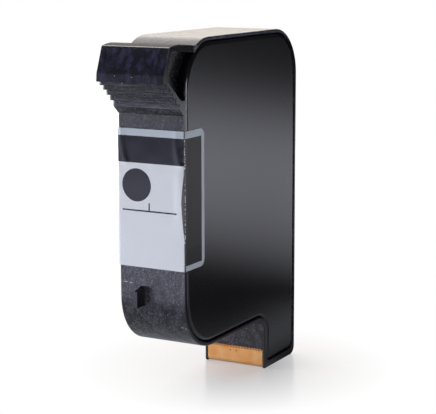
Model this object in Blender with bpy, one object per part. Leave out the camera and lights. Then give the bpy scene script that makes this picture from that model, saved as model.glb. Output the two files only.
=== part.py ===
"""Inkjet ink cartridge: a sprung ink bag in a moulded frame between two pressed steel covers.

Sizes are in millimetres. X runs across the thickness, Y from the front to the back, Z up.
The outlines are drawn in Y and Z from the front wall (Y = 0) and the snout's underside (Z = 0),
and one empty carries every piece so that the origin lies under the middle of the cartridge.
"""

import math

import bmesh
import bpy
from mathutils import Matrix, Vector

MM = 0.001

# Overall body
WIDTH = 20.0
DEPTH = 66.1
HEIGHT = 98.9
CROWN_RADIUS = 13.5
CHIN_RADIUS = 14.5
UNDERSIDE = 15.3
SNOUT_DEPTH = 19.9
THROAT_RADIUS = 4.6
HEEL_RADIUS = 2.6
TOE_RADIUS = 0.6

# Clearances
SEAT_GAP = 0.3
LAMINATE_GAP = 0.1

# Outer frame's section
RIM_WALL = 0.9
RIM_ROUND = 0.35
WALL = 2.6
COVER_RECESS_DEPTH = 1.8
SNOUT_FLOOR = 5.0
SNOUT_FRONT_EXTRA = 0.4
SNOUT_FLOOR_EXTRA = 1.0
COVER_HEEL_RADIUS = 3.0
COVER_TOE_RADIUS = 1.4

# Finger grip, reaching forward from the frame's upper front
GRIP_REACH = 10.1
GRIP_FACE_FOOT = 88.1
GRIP_FACE_BEND = 90.2
GRIP_FACE_LEAN = 0.15
GRIP_BROW = 97.1
GRIP_BROW_SETBACK = 2.8
GRIP_RIDGE = 97.8
GRIP_RIDGE_SETBACK = 6.2
GRIP_TOP_AT_ROOT = 96.3
GRIP_EDGE_RADIUS = 0.8
GRIP_RIDGE_RADIUS = 2.0
GRIP_STEPS = 5
GRIP_LAST_STEP_REACH = 2.2
GRIP_LAST_STEP = 81.1
GRIP_STEP_CURVE = 1.2
GRIP_ROOT = 79.2
GRIP_POCKET_DEPTH = 3.1
GRIP_WALL = 1.1
GRIP_POCKET_FLOOR = 83.2
GRIP_POCKET_TOP = 96.25
GRIP_POCKET_TOP_DROP = 1.2
GRIP_POCKET_RADIUS = 0.8
GRIP_POCKET_FOOT_REACH = 1.4
GRIP_POCKET_NOSE_SETBACK = 1.55

# Locating tab on the front wall
TAB_REACH = 3.7
TAB_LENGTH = 5.55
TAB_TO_LABEL = 4.85
TAB_SLOPE_DROP = 1.15
TAB_ROOT_WIDTH = 1.3
TAB_TIP_WIDTH = 0.9
TAB_CENTRE = -2.95

# Pressed side covers
COVER_SHEET = 0.5
COVER_BEND = 1.2
COVER_FLANGE_GAP = 0.3
PRESS_TAB_LENGTH = 4.0
PRESS_TAB_DEPTH = 2.2
PRESS_TAB_TRIM = 0.03
PRESS_TAB_SHARES = (0.15, 0.85)
PRESS_SLOT_GAP = 0.25

# Inner frame and the bag's films
INNER_WALL = 1.3
INNER_HALF_WIDTH = 7.4
WINDOW_REAR_RADIUS = 4.0
FILM = 0.15
FILM_SEAM = 1.3
FILM_SLOPE = 3.1
FILM_CREST = 8.8

# Filter tower inside the snout
FILTER_POCKET_DEPTH = 2.9
FILTER_POCKET_LENGTH = 10.4
FILTER_POCKET_HEIGHT = 9.6
FILTER_POCKET_FOOT = 8.0
FILTER_SHOULDER = 1.2
FILTER_SHEET = 0.3
INLET_LENGTH = 6.4
INLET_DEPTH = 1.8

# Sprung plates
PLATE_INSET = 9.0
PLATE_SHEET = 0.5
PLATE_RADIUS = 6.0
GUARD_INSET = 8.3
GUARD_SHEET = 0.2
SPRING_LENGTH = 52.0
SPRING_WIDTH = 9.0
SPRING_SHEET = 0.25

# Print head
FLEX_SHEET = 0.15
FLEX_WIDTH = 18.3
FLEX_CHANNEL_DEPTH = 0.4
FLEX_CHANNEL_MARGIN = 0.2
FLEX_BEND = 1.1
FLEX_FRONT_TOP = 5.7
FLEX_REAR_TOP = 32.5
BOND_SHEET = 0.15
BOND_WIDTH = 15.4
BOND_LENGTH = 27.0
BEAD_ROUND = 0.1
HEAD_WINDOW_WIDTH = 5.0
HEAD_WINDOW_LENGTH = 16.6
NOZZLE_PLATE_WIDTH = 4.2
NOZZLE_PLATE_LENGTH = 13.4
NOZZLE_SHEET = 0.15
DIE_WIDTH = 3.0
DIE_LENGTH = 13.8
DIE_SHEET = 0.65
INK_SLOT_WIDTH = 1.2
INK_SLOT_LENGTH = 10.6
PAD_RADIUS = 0.8
PAD_HEIGHT = 0.08
PAD_PITCH_X = 2.1
PAD_PITCH_Z = 2.6
PAD_FIRST_COLUMN = 1.8
PAD_MIDDLE = 18.5
PADS_IN_COLUMNS = (8, 7, 6, 5)

# Fill port in the underside
FILL_BALL_RADIUS = 1.25
FILL_BALL_FROM_FRONT = 30.0
FILL_BALL_DEPTH = 0.15

# Label
LABEL_SHEET = 0.12
LABEL_TO_GRIP = 3.9
LABEL_HEIGHT = 36.9
LABEL_FLAP = 10.1
LABEL_FLAP_RADIUS = 2.0
LABEL_BEND = 0.45

# Facets on arcs
LARGE_ARC_STEPS = 11
THROAT_STEPS = 6
SMALL_ARC_STEPS = 4
EDGE_STEPS = 2
BEND_STEPS = 3
SPRING_STEPS = 48
PORT_FACETS = 20
BALL_RINGS = 12
PAD_FACETS = 10
LEAST_RADIUS = 0.3
OVERSHOOT = 1.0

HALF_WIDTH = WIDTH / 2
SNOUT_FRONT = DEPTH - SNOUT_DEPTH
SNOUT_MIDDLE = DEPTH - SNOUT_DEPTH / 2
LEDGE = HALF_WIDTH - COVER_RECESS_DEPTH
COVER_INSET = RIM_WALL + SEAT_GAP
INNER_INSET = WALL + SEAT_GAP
BAG_MIDDLE = (UNDERSIDE + HEIGHT) / 2
LABEL_TOP = GRIP_ROOT - LABEL_TO_GRIP
LABEL_FOOT = LABEL_TOP - LABEL_HEIGHT
TAB_TOP = LABEL_FOOT - TAB_TO_LABEL
TAB_FOOT = TAB_TOP - TAB_LENGTH
SIDES = (("right", 1), ("left", -1))


# Outlines

def rounded(corners):
    """Turns each corner (y, z, radius, steps) of a polygon into an arc of its own."""
    points = []
    for index, (y, z, radius, steps) in enumerate(corners):
        corner = Vector((y, z))
        if radius <= 0:
            points.append(corner)
            continue
        before = (Vector(corners[index - 1][:2]) - corner).normalized()
        after = (Vector(corners[(index + 1) % len(corners)][:2]) - corner).normalized()
        half_angle = before.angle(after) / 2
        centre = corner + (before + after).normalized() * radius / math.sin(half_angle)
        run = radius / math.tan(half_angle)
        start = corner + before * run - centre
        end = corner + after * run - centre
        sweep = start.angle_signed(end)
        for step in range(steps + 1):
            turn = Matrix.Rotation(-sweep * step / steps, 2)
            points.append(centre + turn @ start)
    return points


def body_corners(inset, snout_extra=0.0, floor_extra=0.0, heel=HEEL_RADIUS, toe=TOE_RADIUS):
    """The cartridge's L-shaped outline, drawn inset from the frame's outer faces."""
    snout_front = SNOUT_FRONT + inset + snout_extra
    floor = inset + floor_extra
    underside = UNDERSIDE + inset
    back = DEPTH - inset
    top = HEIGHT - inset
    chin = max(CHIN_RADIUS - inset, LEAST_RADIUS)
    crown = max(CROWN_RADIUS - inset, LEAST_RADIUS)
    return (
        (inset, underside, chin, LARGE_ARC_STEPS),
        (snout_front, underside, THROAT_RADIUS + inset, THROAT_STEPS),
        (snout_front, floor, max(toe - inset, LEAST_RADIUS), SMALL_ARC_STEPS),
        (back, floor, max(heel - inset, LEAST_RADIUS), SMALL_ARC_STEPS),
        (back, top, crown, LARGE_ARC_STEPS),
        (inset, top, crown, LARGE_ARC_STEPS),
    )


def frame_outline(inset):
    return rounded(body_corners(inset))


def cover_outline(inset):
    """The outline of the covers and their recess, which keeps a wider rim round the snout."""
    heel = COVER_HEEL_RADIUS + COVER_INSET
    toe = COVER_TOE_RADIUS + COVER_INSET
    return rounded(body_corners(inset, SNOUT_FRONT_EXTRA, SNOUT_FLOOR_EXTRA, heel, toe))


def bag_outline(inset):
    """The outline of the ink space, which ends above the print head's floor."""
    heel = COVER_HEEL_RADIUS + COVER_INSET
    return rounded(body_corners(inset, SNOUT_FRONT_EXTRA, SNOUT_FLOOR - WALL, heel, heel))


def window_outline(inset, radius=None):
    """The ink space without the snout: one rounded window through the body."""
    rear = WINDOW_REAR_RADIUS if radius is None else radius
    chin = CHIN_RADIUS - inset if radius is None else radius
    crown = CROWN_RADIUS - inset if radius is None else radius
    bottom = UNDERSIDE + inset
    top = HEIGHT - inset
    back = DEPTH - inset
    return rounded((
        (inset, bottom, chin, THROAT_STEPS),
        (back, bottom, rear, THROAT_STEPS),
        (back, top, crown, THROAT_STEPS),
        (inset, top, crown, THROAT_STEPS),
    ))


# Solids

def new_object(name, bm):
    bmesh.ops.recalc_face_normals(bm, faces=bm.faces)
    mesh = bpy.data.meshes.new(name)
    bm.to_mesh(mesh)
    bm.free()
    mesh.transform(Matrix.Scale(MM, 4))
    obj = bpy.data.objects.new(name, mesh)
    bpy.context.collection.objects.link(obj)
    return obj


def loft(name, stations, side=1):
    """Joins a chain of equal outlines (points, x) with walls and closes both ends."""
    bm = bmesh.new()
    loops = [[bm.verts.new((side * x, y, z)) for y, z in points] for points, x in stations]
    for loop, following in zip(loops, loops[1:]):
        for index in range(len(loop)):
            bm.faces.new((loop[index - 1], loop[index], following[index], following[index - 1]))
    bm.faces.new(loops[0])
    bm.faces.new(loops[-1])
    return new_object(name, bm)


def prism(name, points, low, high):
    return loft(name, ((points, low), (points, high)))


def drawn_up(name, points, low, high):
    """A prism along Z from an outline (x, y)."""
    bm = bmesh.new()
    face = bm.faces.new([bm.verts.new((x, y, low)) for x, y in points])
    grown = bmesh.ops.extrude_face_region(bm, geom=[face])["geom"]
    moved = [item for item in grown if isinstance(item, bmesh.types.BMVert)]
    bmesh.ops.translate(bm, verts=moved, vec=(0, 0, high - low))
    return new_object(name, bm)


def add_block(bm, low, high):
    """Adds a box to a bmesh from its lower and upper corners."""
    low = Vector(low)
    size = Vector(high) - low
    place = Matrix.Translation(low + size / 2) @ Matrix.Diagonal((*size, 1))
    return bmesh.ops.create_cube(bm, size=1, matrix=place)["verts"]


def block(name, low, high, bevel=0.0):
    bm = bmesh.new()
    add_block(bm, low, high)
    if bevel:
        bmesh.ops.bevel(bm, geom=bm.edges[:], offset=bevel, segments=EDGE_STEPS, profile=0.5,
                        affect="EDGES", clamp_overlap=True)
    return new_object(name, bm)


def combine(target, other, operation):
    """Cuts, joins or trims a piece by a guide shape that stays out of the model."""
    modifier = target.modifiers.new(other.name, "BOOLEAN")
    modifier.operation = operation
    modifier.solver = "EXACT"
    modifier.object = other
    other.hide_render = True
    other.display_type = "WIRE"


def finish(obj, colour, roughness, metallic=0.0):
    """Gives a piece its own material, smooth shading and its place under the carrier."""
    material = bpy.data.materials.new(obj.name)
    material.use_nodes = True
    shader = material.node_tree.nodes["Principled BSDF"]
    linear = [(c / 12.92 if c <= 0.04045 else ((c + 0.055) / 1.055) ** 2.4) for c in colour]
    shader.inputs["Base Color"].default_value = (*linear, 1)
    shader.inputs["Roughness"].default_value = roughness
    shader.inputs["Metallic"].default_value = metallic
    obj.data.materials.clear()
    obj.data.materials.append(material)
    obj.data.shade_smooth()
    obj.data.set_sharp_from_angle(angle=math.radians(30))


def rounded_edge(inset, face, radius, steps):
    """Stations (inset, x) of a quarter-round edge that ends flat in the face."""
    stations = []
    for step in range(steps + 1):
        angle = math.pi / 2 * step / steps
        stations.append((inset + radius * (1 - math.cos(angle)),
                         face - radius * (1 - math.sin(angle))))
    return stations


# Outer frame

def grip_profile():
    """The grip's section: a leaning face, a low ridge on top and steps for the fingers below."""
    corners = [
        (-GRIP_REACH + GRIP_FACE_LEAN, GRIP_FACE_BEND, GRIP_EDGE_RADIUS, SMALL_ARC_STEPS),
        (-GRIP_REACH, GRIP_FACE_FOOT, 0, 0),
    ]
    for step in range(GRIP_STEPS):
        here = step_corner(step)
        following = step_corner(step + 1)
        corners.append((following[0], here[1], 0, 0))
        corners.append((following[0], following[1], 0, 0))
    corners += [
        (0, GRIP_ROOT, 0, 0),
        (CROWN_RADIUS, GRIP_ROOT, 0, 0),
        (CROWN_RADIUS, GRIP_TOP_AT_ROOT, 0, 0),
        (-GRIP_REACH + GRIP_RIDGE_SETBACK, GRIP_RIDGE, GRIP_RIDGE_RADIUS, SMALL_ARC_STEPS),
        (-GRIP_REACH + GRIP_BROW_SETBACK, GRIP_BROW, GRIP_EDGE_RADIUS, SMALL_ARC_STEPS),
    ]
    return rounded(corners)


def step_corner(step):
    """The outer corner of one finger step; the steps steepen towards the frame."""
    share = step / GRIP_STEPS
    y = -GRIP_REACH + (GRIP_REACH - GRIP_LAST_STEP_REACH) * share
    z = GRIP_FACE_FOOT - (GRIP_FACE_FOOT - GRIP_LAST_STEP) * share ** GRIP_STEP_CURVE
    return y, z


def grip_pocket():
    """The hollow in each side of the grip, one wall in from its face and its steps."""
    brow = -GRIP_REACH + GRIP_BROW_SETBACK + GRIP_WALL
    nose = -GRIP_REACH + GRIP_POCKET_NOSE_SETBACK
    return rounded((
        (brow, GRIP_POCKET_TOP, GRIP_POCKET_RADIUS, SMALL_ARC_STEPS),
        (nose, GRIP_FACE_FOOT + GRIP_WALL, GRIP_POCKET_RADIUS, SMALL_ARC_STEPS),
        (-GRIP_POCKET_FOOT_REACH, GRIP_POCKET_FLOOR, GRIP_POCKET_RADIUS, SMALL_ARC_STEPS),
        (RIM_WALL / 2, GRIP_POCKET_FLOOR, 0, 0),
        (CROWN_RADIUS / 2, GRIP_POCKET_TOP - GRIP_POCKET_TOP_DROP, 0, 0),
    ))


def make_grip():
    grip = prism("grip_guide", grip_profile(), -HALF_WIDTH, HALF_WIDTH)
    for side_name, side in SIDES:
        pocket = loft("grip_pocket_" + side_name,
                      ((grip_pocket(), HALF_WIDTH - GRIP_POCKET_DEPTH),
                       (grip_pocket(), HALF_WIDTH + OVERSHOOT)), side)
        combine(grip, pocket, "DIFFERENCE")
    return grip


def make_locating_tab():
    """A short blade with a sloping top that narrows towards its tip."""
    bm = bmesh.new()
    rings = []
    for y, half, upper in ((WALL, TAB_ROOT_WIDTH / 2, TAB_TOP),
                           (-TAB_REACH, TAB_TIP_WIDTH / 2, TAB_TOP - TAB_SLOPE_DROP)):
        rings.append([bm.verts.new((TAB_CENTRE + dx, y, z))
                      for dx, z in ((-half, TAB_FOOT), (half, TAB_FOOT), (half, upper), (-half, upper))])
    for index in range(4):
        bm.faces.new((rings[0][index - 1], rings[0][index], rings[1][index], rings[1][index - 1]))
    bm.faces.new(rings[0])
    bm.faces.new(rings[1])
    return new_object("locating_tab_guide", bm)


def flex_channel():
    """The shallow channel that carries the flex circuit down the snout, under it and up its back."""
    front = SNOUT_FRONT + FLEX_CHANNEL_DEPTH
    rear = DEPTH - FLEX_CHANNEL_DEPTH
    front_top = UNDERSIDE - THROAT_RADIUS
    rear_top = FLEX_REAR_TOP + FLEX_CHANNEL_MARGIN + SEAT_GAP
    bend = FLEX_BEND - FLEX_SHEET - LAMINATE_GAP
    return rounded((
        (SNOUT_FRONT - OVERSHOOT, front_top, 0, 0),
        (SNOUT_FRONT - OVERSHOOT, -OVERSHOOT, 0, 0),
        (DEPTH + OVERSHOOT, -OVERSHOOT, 0, 0),
        (DEPTH + OVERSHOOT, rear_top, 0, 0),
        (rear, rear_top, 0, 0),
        (rear, FLEX_CHANNEL_DEPTH, bend, SMALL_ARC_STEPS),
        (front, FLEX_CHANNEL_DEPTH, bend, SMALL_ARC_STEPS),
        (front, front_top, 0, 0),
    ))


def press_tab_places():
    """Where the covers' tabs go, as (y, z, runs along z), on the middle line of the flange."""
    line = COVER_INSET + COVER_SHEET / 2
    top_run = DEPTH - 2 * CROWN_RADIUS
    front_run = HEIGHT - CROWN_RADIUS - UNDERSIDE - CHIN_RADIUS
    rear_run = HEIGHT - CROWN_RADIUS - UNDERSIDE
    belly_run = SNOUT_FRONT - THROAT_RADIUS - CHIN_RADIUS
    floor_middle = SNOUT_MIDDLE + SNOUT_FRONT_EXTRA / 2
    places = [(CHIN_RADIUS + belly_run / 2, UNDERSIDE + line, False),
              (floor_middle, line + SNOUT_FLOOR_EXTRA, False)]
    for share in PRESS_TAB_SHARES:
        places.append((CROWN_RADIUS + top_run * share, HEIGHT - line, False))
        places.append((line, UNDERSIDE + CHIN_RADIUS + front_run * share, True))
        places.append((DEPTH - line, UNDERSIDE + rear_run * share, True))
    return places


def press_tab_box(place, inner, outer, growth, side):
    """The lower and upper corners of one press tab, or of its slot when grown."""
    y, z, runs_along_z = place
    along = PRESS_TAB_LENGTH / 2 + growth
    across = COVER_SHEET / 2 - PRESS_TAB_TRIM + growth
    half_y, half_z = (across, along) if runs_along_z else (along, across)
    low_x, high_x = sorted((side * inner, side * outer))
    return (low_x, y - half_y, z - half_z), (high_x, y + half_y, z + half_z)


def make_frame_cutters():
    """Every small cut in the outer frame: tab slots, ink slot, chip pocket and fill port."""
    bm = bmesh.new()
    slot_end = LEDGE - PRESS_TAB_DEPTH
    for _, side in SIDES:
        for place in press_tab_places():
            add_block(bm, *press_tab_box(place, slot_end, LEDGE + SEAT_GAP, PRESS_SLOT_GAP, side))
    pocket_x = DIE_WIDTH / 2 + SEAT_GAP
    pocket_y = DIE_LENGTH / 2 + SEAT_GAP
    add_block(bm, (-pocket_x, SNOUT_MIDDLE - pocket_y, FLEX_CHANNEL_DEPTH - SEAT_GAP),
              (pocket_x, SNOUT_MIDDLE + pocket_y, die_foot() + DIE_SHEET + SEAT_GAP))
    recess_low, recess_high = bond_corners(LAMINATE_GAP)
    add_block(bm, recess_low, (recess_high[0], DEPTH - FLEX_CHANNEL_DEPTH + SEAT_GAP, recess_high[2]))
    return new_object("frame_cuts", bm)


def die_foot():
    return FLEX_CHANNEL_DEPTH + LAMINATE_GAP


def make_ink_slot(name, low, high):
    half_x = INK_SLOT_WIDTH / 2
    half_y = INK_SLOT_LENGTH / 2
    return block(name, (-half_x, SNOUT_MIDDLE - half_y, low), (half_x, SNOUT_MIDDLE + half_y, high))


def make_port(name, radius, low, high):
    """A round upright guide at the fill port."""
    bm = bmesh.new()
    place = Matrix.Translation((0, FILL_BALL_FROM_FRONT, (low + high) / 2))
    bmesh.ops.create_cone(bm, cap_ends=True, segments=PORT_FACETS, radius1=radius,
                          radius2=radius, depth=high - low, matrix=place)
    return new_object(name, bm)


def make_outer_frame():
    edge = rounded_edge(0, HALF_WIDTH, RIM_ROUND, EDGE_STEPS)
    stations = [(frame_outline(inset), -x) for inset, x in reversed(edge)]
    stations += [(frame_outline(inset), x) for inset, x in edge]
    frame = loft("outer_frame", stations)
    combine(frame, make_grip(), "UNION")
    combine(frame, make_locating_tab(), "UNION")
    recess = cover_outline(RIM_WALL)
    for side_name, side in SIDES:
        cutter = loft("cover_recess_" + side_name,
                      ((recess, LEDGE), (recess, HALF_WIDTH + OVERSHOOT)), side)
        combine(frame, cutter, "DIFFERENCE")
    reach = HALF_WIDTH + 2 * OVERSHOOT
    combine(frame, prism("ink_space", bag_outline(WALL), -reach, reach), "DIFFERENCE")
    half_channel = FLEX_WIDTH / 2 + FLEX_CHANNEL_MARGIN
    combine(frame, prism("flex_channel", flex_channel(), -half_channel, half_channel), "DIFFERENCE")
    combine(frame, make_frame_cutters(), "DIFFERENCE")
    combine(frame, make_ink_slot("frame_ink_slot", FLEX_CHANNEL_DEPTH, SNOUT_FLOOR + OVERSHOOT),
            "DIFFERENCE")
    port_radius = FILL_BALL_RADIUS + SEAT_GAP
    combine(frame, make_port("frame_port", port_radius, UNDERSIDE - OVERSHOOT,
                             UNDERSIDE + WALL + OVERSHOOT / 2), "DIFFERENCE")
    finish(frame, (0.12, 0.12, 0.13), 0.55)
    return frame


# Side covers

def make_cover(side_name, side):
    """A steel pressing: a flat face, a rounded bend, a short flange and eight press tabs."""
    face = HALF_WIDTH
    flange_end = LEDGE + COVER_FLANGE_GAP
    outer_edge = rounded_edge(COVER_INSET, face, COVER_BEND, BEND_STEPS)
    inner_edge = rounded_edge(COVER_INSET + COVER_SHEET, face - COVER_SHEET,
                              COVER_BEND - COVER_SHEET, BEND_STEPS)
    chain = list(reversed(inner_edge))
    chain += [(COVER_INSET + COVER_SHEET, flange_end), (COVER_INSET, flange_end)]
    chain += outer_edge
    cover = loft(side_name + "_cover", [(cover_outline(inset), x) for inset, x in chain], side)
    bm = bmesh.new()
    tab_end = LEDGE - PRESS_TAB_DEPTH + SEAT_GAP
    for place in press_tab_places():
        add_block(bm, *press_tab_box(place, tab_end, flange_end + SEAT_GAP / 2, 0, side))
    combine(cover, new_object(side_name + "_press_tabs", bm), "UNION")
    finish(cover, (0.2, 0.2, 0.21), 0.4, 0.3)
    return cover


# Ink bag

def make_inner_frame():
    """The softer frame that the films are sealed to, with the filter tower in the snout."""
    frame = prism("inner_frame", bag_outline(INNER_INSET), -INNER_HALF_WIDTH, INNER_HALF_WIDTH)
    reach = INNER_HALF_WIDTH + OVERSHOOT
    window = prism("bag_window", window_outline(INNER_INSET + INNER_WALL), -reach, reach)
    combine(frame, window, "DIFFERENCE")
    bm = bmesh.new()
    half_length = FILTER_POCKET_LENGTH / 2
    middle = filter_middle()
    shelf = INNER_HALF_WIDTH - FILTER_POCKET_DEPTH
    top = FILTER_POCKET_FOOT + FILTER_POCKET_HEIGHT
    for _, side in SIDES:
        low_x, high_x = sorted((side * shelf, side * reach))
        add_block(bm, (low_x, middle - half_length, FILTER_POCKET_FOOT),
                  (high_x, middle + half_length, top))
    pockets = new_object("filter_pockets", bm)
    combine(frame, pockets, "DIFFERENCE")
    bm = bmesh.new()
    inlet_floor = INNER_HALF_WIDTH - INLET_DEPTH
    for _, side in SIDES:
        low_x, high_x = sorted((side * inlet_floor, side * reach))
        add_block(bm, (low_x, middle - INLET_LENGTH / 2, top - OVERSHOOT),
                  (high_x, middle + INLET_LENGTH / 2, UNDERSIDE + INNER_INSET + INNER_WALL + OVERSHOOT))
    combine(frame, new_object("filter_inlets", bm), "DIFFERENCE")
    chamber = block("filter_chamber",
                    (-reach, middle - half_length + FILTER_SHOULDER, FILTER_POCKET_FOOT + FILTER_SHOULDER),
                    (reach, middle + half_length - FILTER_SHOULDER, top - FILTER_SHOULDER))
    combine(frame, chamber, "DIFFERENCE")
    combine(frame, make_ink_slot("standpipe", SNOUT_FLOOR - OVERSHOOT,
                                 FILTER_POCKET_FOOT + FILTER_SHOULDER + OVERSHOOT), "DIFFERENCE")
    combine(frame, make_port("inner_port", FILL_BALL_RADIUS - SEAT_GAP, UNDERSIDE,
                             UNDERSIDE + INNER_INSET + INNER_WALL + OVERSHOOT), "DIFFERENCE")
    finish(frame, (0.16, 0.16, 0.17), 0.6)
    return frame


def filter_middle():
    return SNOUT_MIDDLE + SNOUT_FRONT_EXTRA / 2


def make_film(side_name, side):
    """One wall of the bag: sealed flat round its edge and swollen over the plate."""
    seam = INNER_HALF_WIDTH + SEAT_GAP
    edge = INNER_INSET + SEAT_GAP / 2
    chain = (
        (edge + FILM_SEAM + FILM_SLOPE, FILM_CREST),
        (edge + FILM_SEAM + FILM_SLOPE / 2, (FILM_CREST + seam) / 2),
        (edge + FILM_SEAM, seam),
        (edge, seam),
        (edge, seam + FILM),
        (edge + FILM_SEAM, seam + FILM),
        (edge + FILM_SEAM + FILM_SLOPE / 2, (FILM_CREST + seam) / 2 + FILM),
        (edge + FILM_SEAM + FILM_SLOPE, FILM_CREST + FILM),
    )
    film = loft(side_name + "_film", [(bag_outline(inset), x) for inset, x in chain], side)
    finish(film, (0.55, 0.56, 0.58), 0.25)
    return film


def make_sheet(name, inset, radius, low, thickness, side):
    outline = window_outline(inset, radius)
    return loft(name, ((outline, low), (outline, low + thickness)), side)


def make_filter(side_name, side):
    shelf = INNER_HALF_WIDTH - FILTER_POCKET_DEPTH + SEAT_GAP
    half_length = FILTER_POCKET_LENGTH / 2 - SEAT_GAP
    middle = filter_middle()
    low_x, high_x = sorted((side * shelf, side * (shelf + FILTER_SHEET)))
    screen = block(side_name + "_filter_screen",
                   (low_x, middle - half_length, FILTER_POCKET_FOOT + SEAT_GAP),
                   (high_x, middle + half_length, FILTER_POCKET_FOOT + FILTER_POCKET_HEIGHT - SEAT_GAP))
    finish(screen, (0.62, 0.61, 0.6), 0.45, 0.9)
    return screen


def make_bow_spring():
    """A strip bent into one long loop whose two bows press the plates apart."""
    crown = FILM_CREST - 2 * SEAT_GAP - GUARD_SHEET - PLATE_SHEET - SEAT_GAP
    middle_y = DEPTH / 2
    loops = []
    bm = bmesh.new()
    for y in (middle_y - SPRING_WIDTH / 2, middle_y + SPRING_WIDTH / 2):
        for thickness in (0, SPRING_SHEET):
            loop = []
            for step in range(SPRING_STEPS):
                angle = 2 * math.pi * step / SPRING_STEPS
                x = (crown - thickness) * math.cos(angle)
                z = BAG_MIDDLE + (SPRING_LENGTH / 2 - thickness) * math.sin(angle)
                loop.append(bm.verts.new((x, y, z)))
            loops.append(loop)
    outer_front, inner_front, outer_back, inner_back = loops
    for first, second in ((outer_front, inner_front), (inner_front, inner_back),
                          (inner_back, outer_back), (outer_back, outer_front)):
        for index in range(SPRING_STEPS):
            bm.faces.new((first[index - 1], first[index], second[index], second[index - 1]))
    spring = new_object("bow_spring", bm)
    finish(spring, (0.7, 0.69, 0.67), 0.3, 1.0)
    return spring


# Print head

def flex_strip(outer_inset, sheet, front_top, rear_top):
    """A strip's section that follows the channel from the snout's front to its back."""
    inner_inset = outer_inset + sheet
    path = []
    for inset, bend in ((outer_inset, FLEX_BEND), (inner_inset, FLEX_BEND - sheet)):
        front = SNOUT_FRONT + inset
        rear = DEPTH - inset
        run = rounded((
            (front, front_top, 0, 0),
            (front, inset, bend, SMALL_ARC_STEPS),
            (rear, inset, bend, SMALL_ARC_STEPS),
            (rear, rear_top, 0, 0),
        ))
        path.append(run)
    return path[0] + path[1][::-1]


def flex_outer_inset():
    return FLEX_CHANNEL_DEPTH - LAMINATE_GAP - FLEX_SHEET


def pad_places():
    """Centres (x, z) of the contact pads: four columns each side of the middle."""
    places = []
    for column, count in enumerate(PADS_IN_COLUMNS):
        x = PAD_FIRST_COLUMN + column * PAD_PITCH_X
        for row in range(count):
            z = PAD_MIDDLE + (row - (count - 1) / 2) * PAD_PITCH_Z
            places += [(x, z), (-x, z)]
    return places


def make_flex_circuit():
    section = flex_strip(flex_outer_inset(), FLEX_SHEET, FLEX_FRONT_TOP, FLEX_REAR_TOP)
    flex = prism("flex_circuit", section, -FLEX_WIDTH / 2, FLEX_WIDTH / 2)
    half_x = HEAD_WINDOW_WIDTH / 2
    half_y = HEAD_WINDOW_LENGTH / 2
    window = block("head_window", (-half_x, SNOUT_MIDDLE - half_y, -OVERSHOOT),
                   (half_x, SNOUT_MIDDLE + half_y, OVERSHOOT))
    combine(flex, window, "DIFFERENCE")
    bm = bmesh.new()
    face = DEPTH - flex_outer_inset()
    depth = FLEX_SHEET / 2 + PAD_HEIGHT
    for x, z in pad_places():
        place = (Matrix.Translation((x, face + PAD_HEIGHT - depth / 2, z))
                 @ Matrix.Rotation(math.pi / 2, 4, "X"))
        bmesh.ops.create_cone(bm, cap_ends=True, segments=PAD_FACETS, radius1=PAD_RADIUS,
                              radius2=PAD_RADIUS, depth=depth, matrix=place)
    combine(flex, new_object("contact_pads", bm), "UNION")
    finish(flex, (0.87, 0.63, 0.39), 0.35)
    return flex


def bond_corners(growth):
    """The lower and upper corners of the bond film, or of its recess when grown."""
    face = DEPTH - FLEX_CHANNEL_DEPTH
    half_x = BOND_WIDTH / 2 + growth
    foot = FLEX_REAR_TOP - FLEX_CHANNEL_MARGIN - BOND_LENGTH
    return ((-half_x, face - BOND_SHEET - growth, foot - growth),
            (half_x, face, foot + BOND_LENGTH + growth))


def make_bond_film():
    """The adhesive sheet that holds the flex circuit in its channel on the snout's back."""
    film = block("flex_bond_film", *bond_corners(0))
    finish(film, (0.8, 0.76, 0.6), 0.4)
    return film


def make_nozzle_plate():
    half_x = NOZZLE_PLATE_WIDTH / 2
    half_y = NOZZLE_PLATE_LENGTH / 2
    foot = flex_outer_inset()
    plate = block("nozzle_plate", (-half_x, SNOUT_MIDDLE - half_y, foot),
                  (half_x, SNOUT_MIDDLE + half_y, foot + NOZZLE_SHEET))
    finish(plate, (0.83, 0.69, 0.42), 0.25, 1.0)
    return plate


def make_die():
    """The silicon chip, with the slot that brings ink to its heaters."""
    half_x = DIE_WIDTH / 2
    half_y = DIE_LENGTH / 2
    foot = die_foot()
    die = block("print_head_die", (-half_x, SNOUT_MIDDLE - half_y, foot),
                (half_x, SNOUT_MIDDLE + half_y, foot + DIE_SHEET))
    combine(die, make_ink_slot("die_slot", 0, UNDERSIDE), "DIFFERENCE")
    finish(die, (0.25, 0.26, 0.3), 0.2, 0.3)
    return die


def make_bead(name, direction):
    """One bead of encapsulant, in the gap between the nozzle plate and the window's end."""
    near = NOZZLE_PLATE_LENGTH / 2 + LAMINATE_GAP
    far = HEAD_WINDOW_LENGTH / 2 - LAMINATE_GAP
    low_y, high_y = sorted((direction * near, direction * far))
    half_x = HEAD_WINDOW_WIDTH / 2 - LAMINATE_GAP
    bead = block(name, (-half_x, SNOUT_MIDDLE + low_y, LAMINATE_GAP / 2),
                 (half_x, SNOUT_MIDDLE + high_y, FLEX_CHANNEL_DEPTH - LAMINATE_GAP), BEAD_ROUND)
    finish(bead, (0.08, 0.08, 0.09), 0.3)
    return bead


def make_fill_ball():
    bm = bmesh.new()
    place = Matrix.Translation((0, FILL_BALL_FROM_FRONT,
                                UNDERSIDE + FILL_BALL_DEPTH + FILL_BALL_RADIUS))
    bmesh.ops.create_uvsphere(bm, u_segments=PORT_FACETS, v_segments=BALL_RINGS,
                              radius=FILL_BALL_RADIUS, matrix=place)
    ball = new_object("fill_port_ball", bm)
    finish(ball, (0.75, 0.75, 0.76), 0.15, 1.0)
    return ball


# Label

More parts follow.
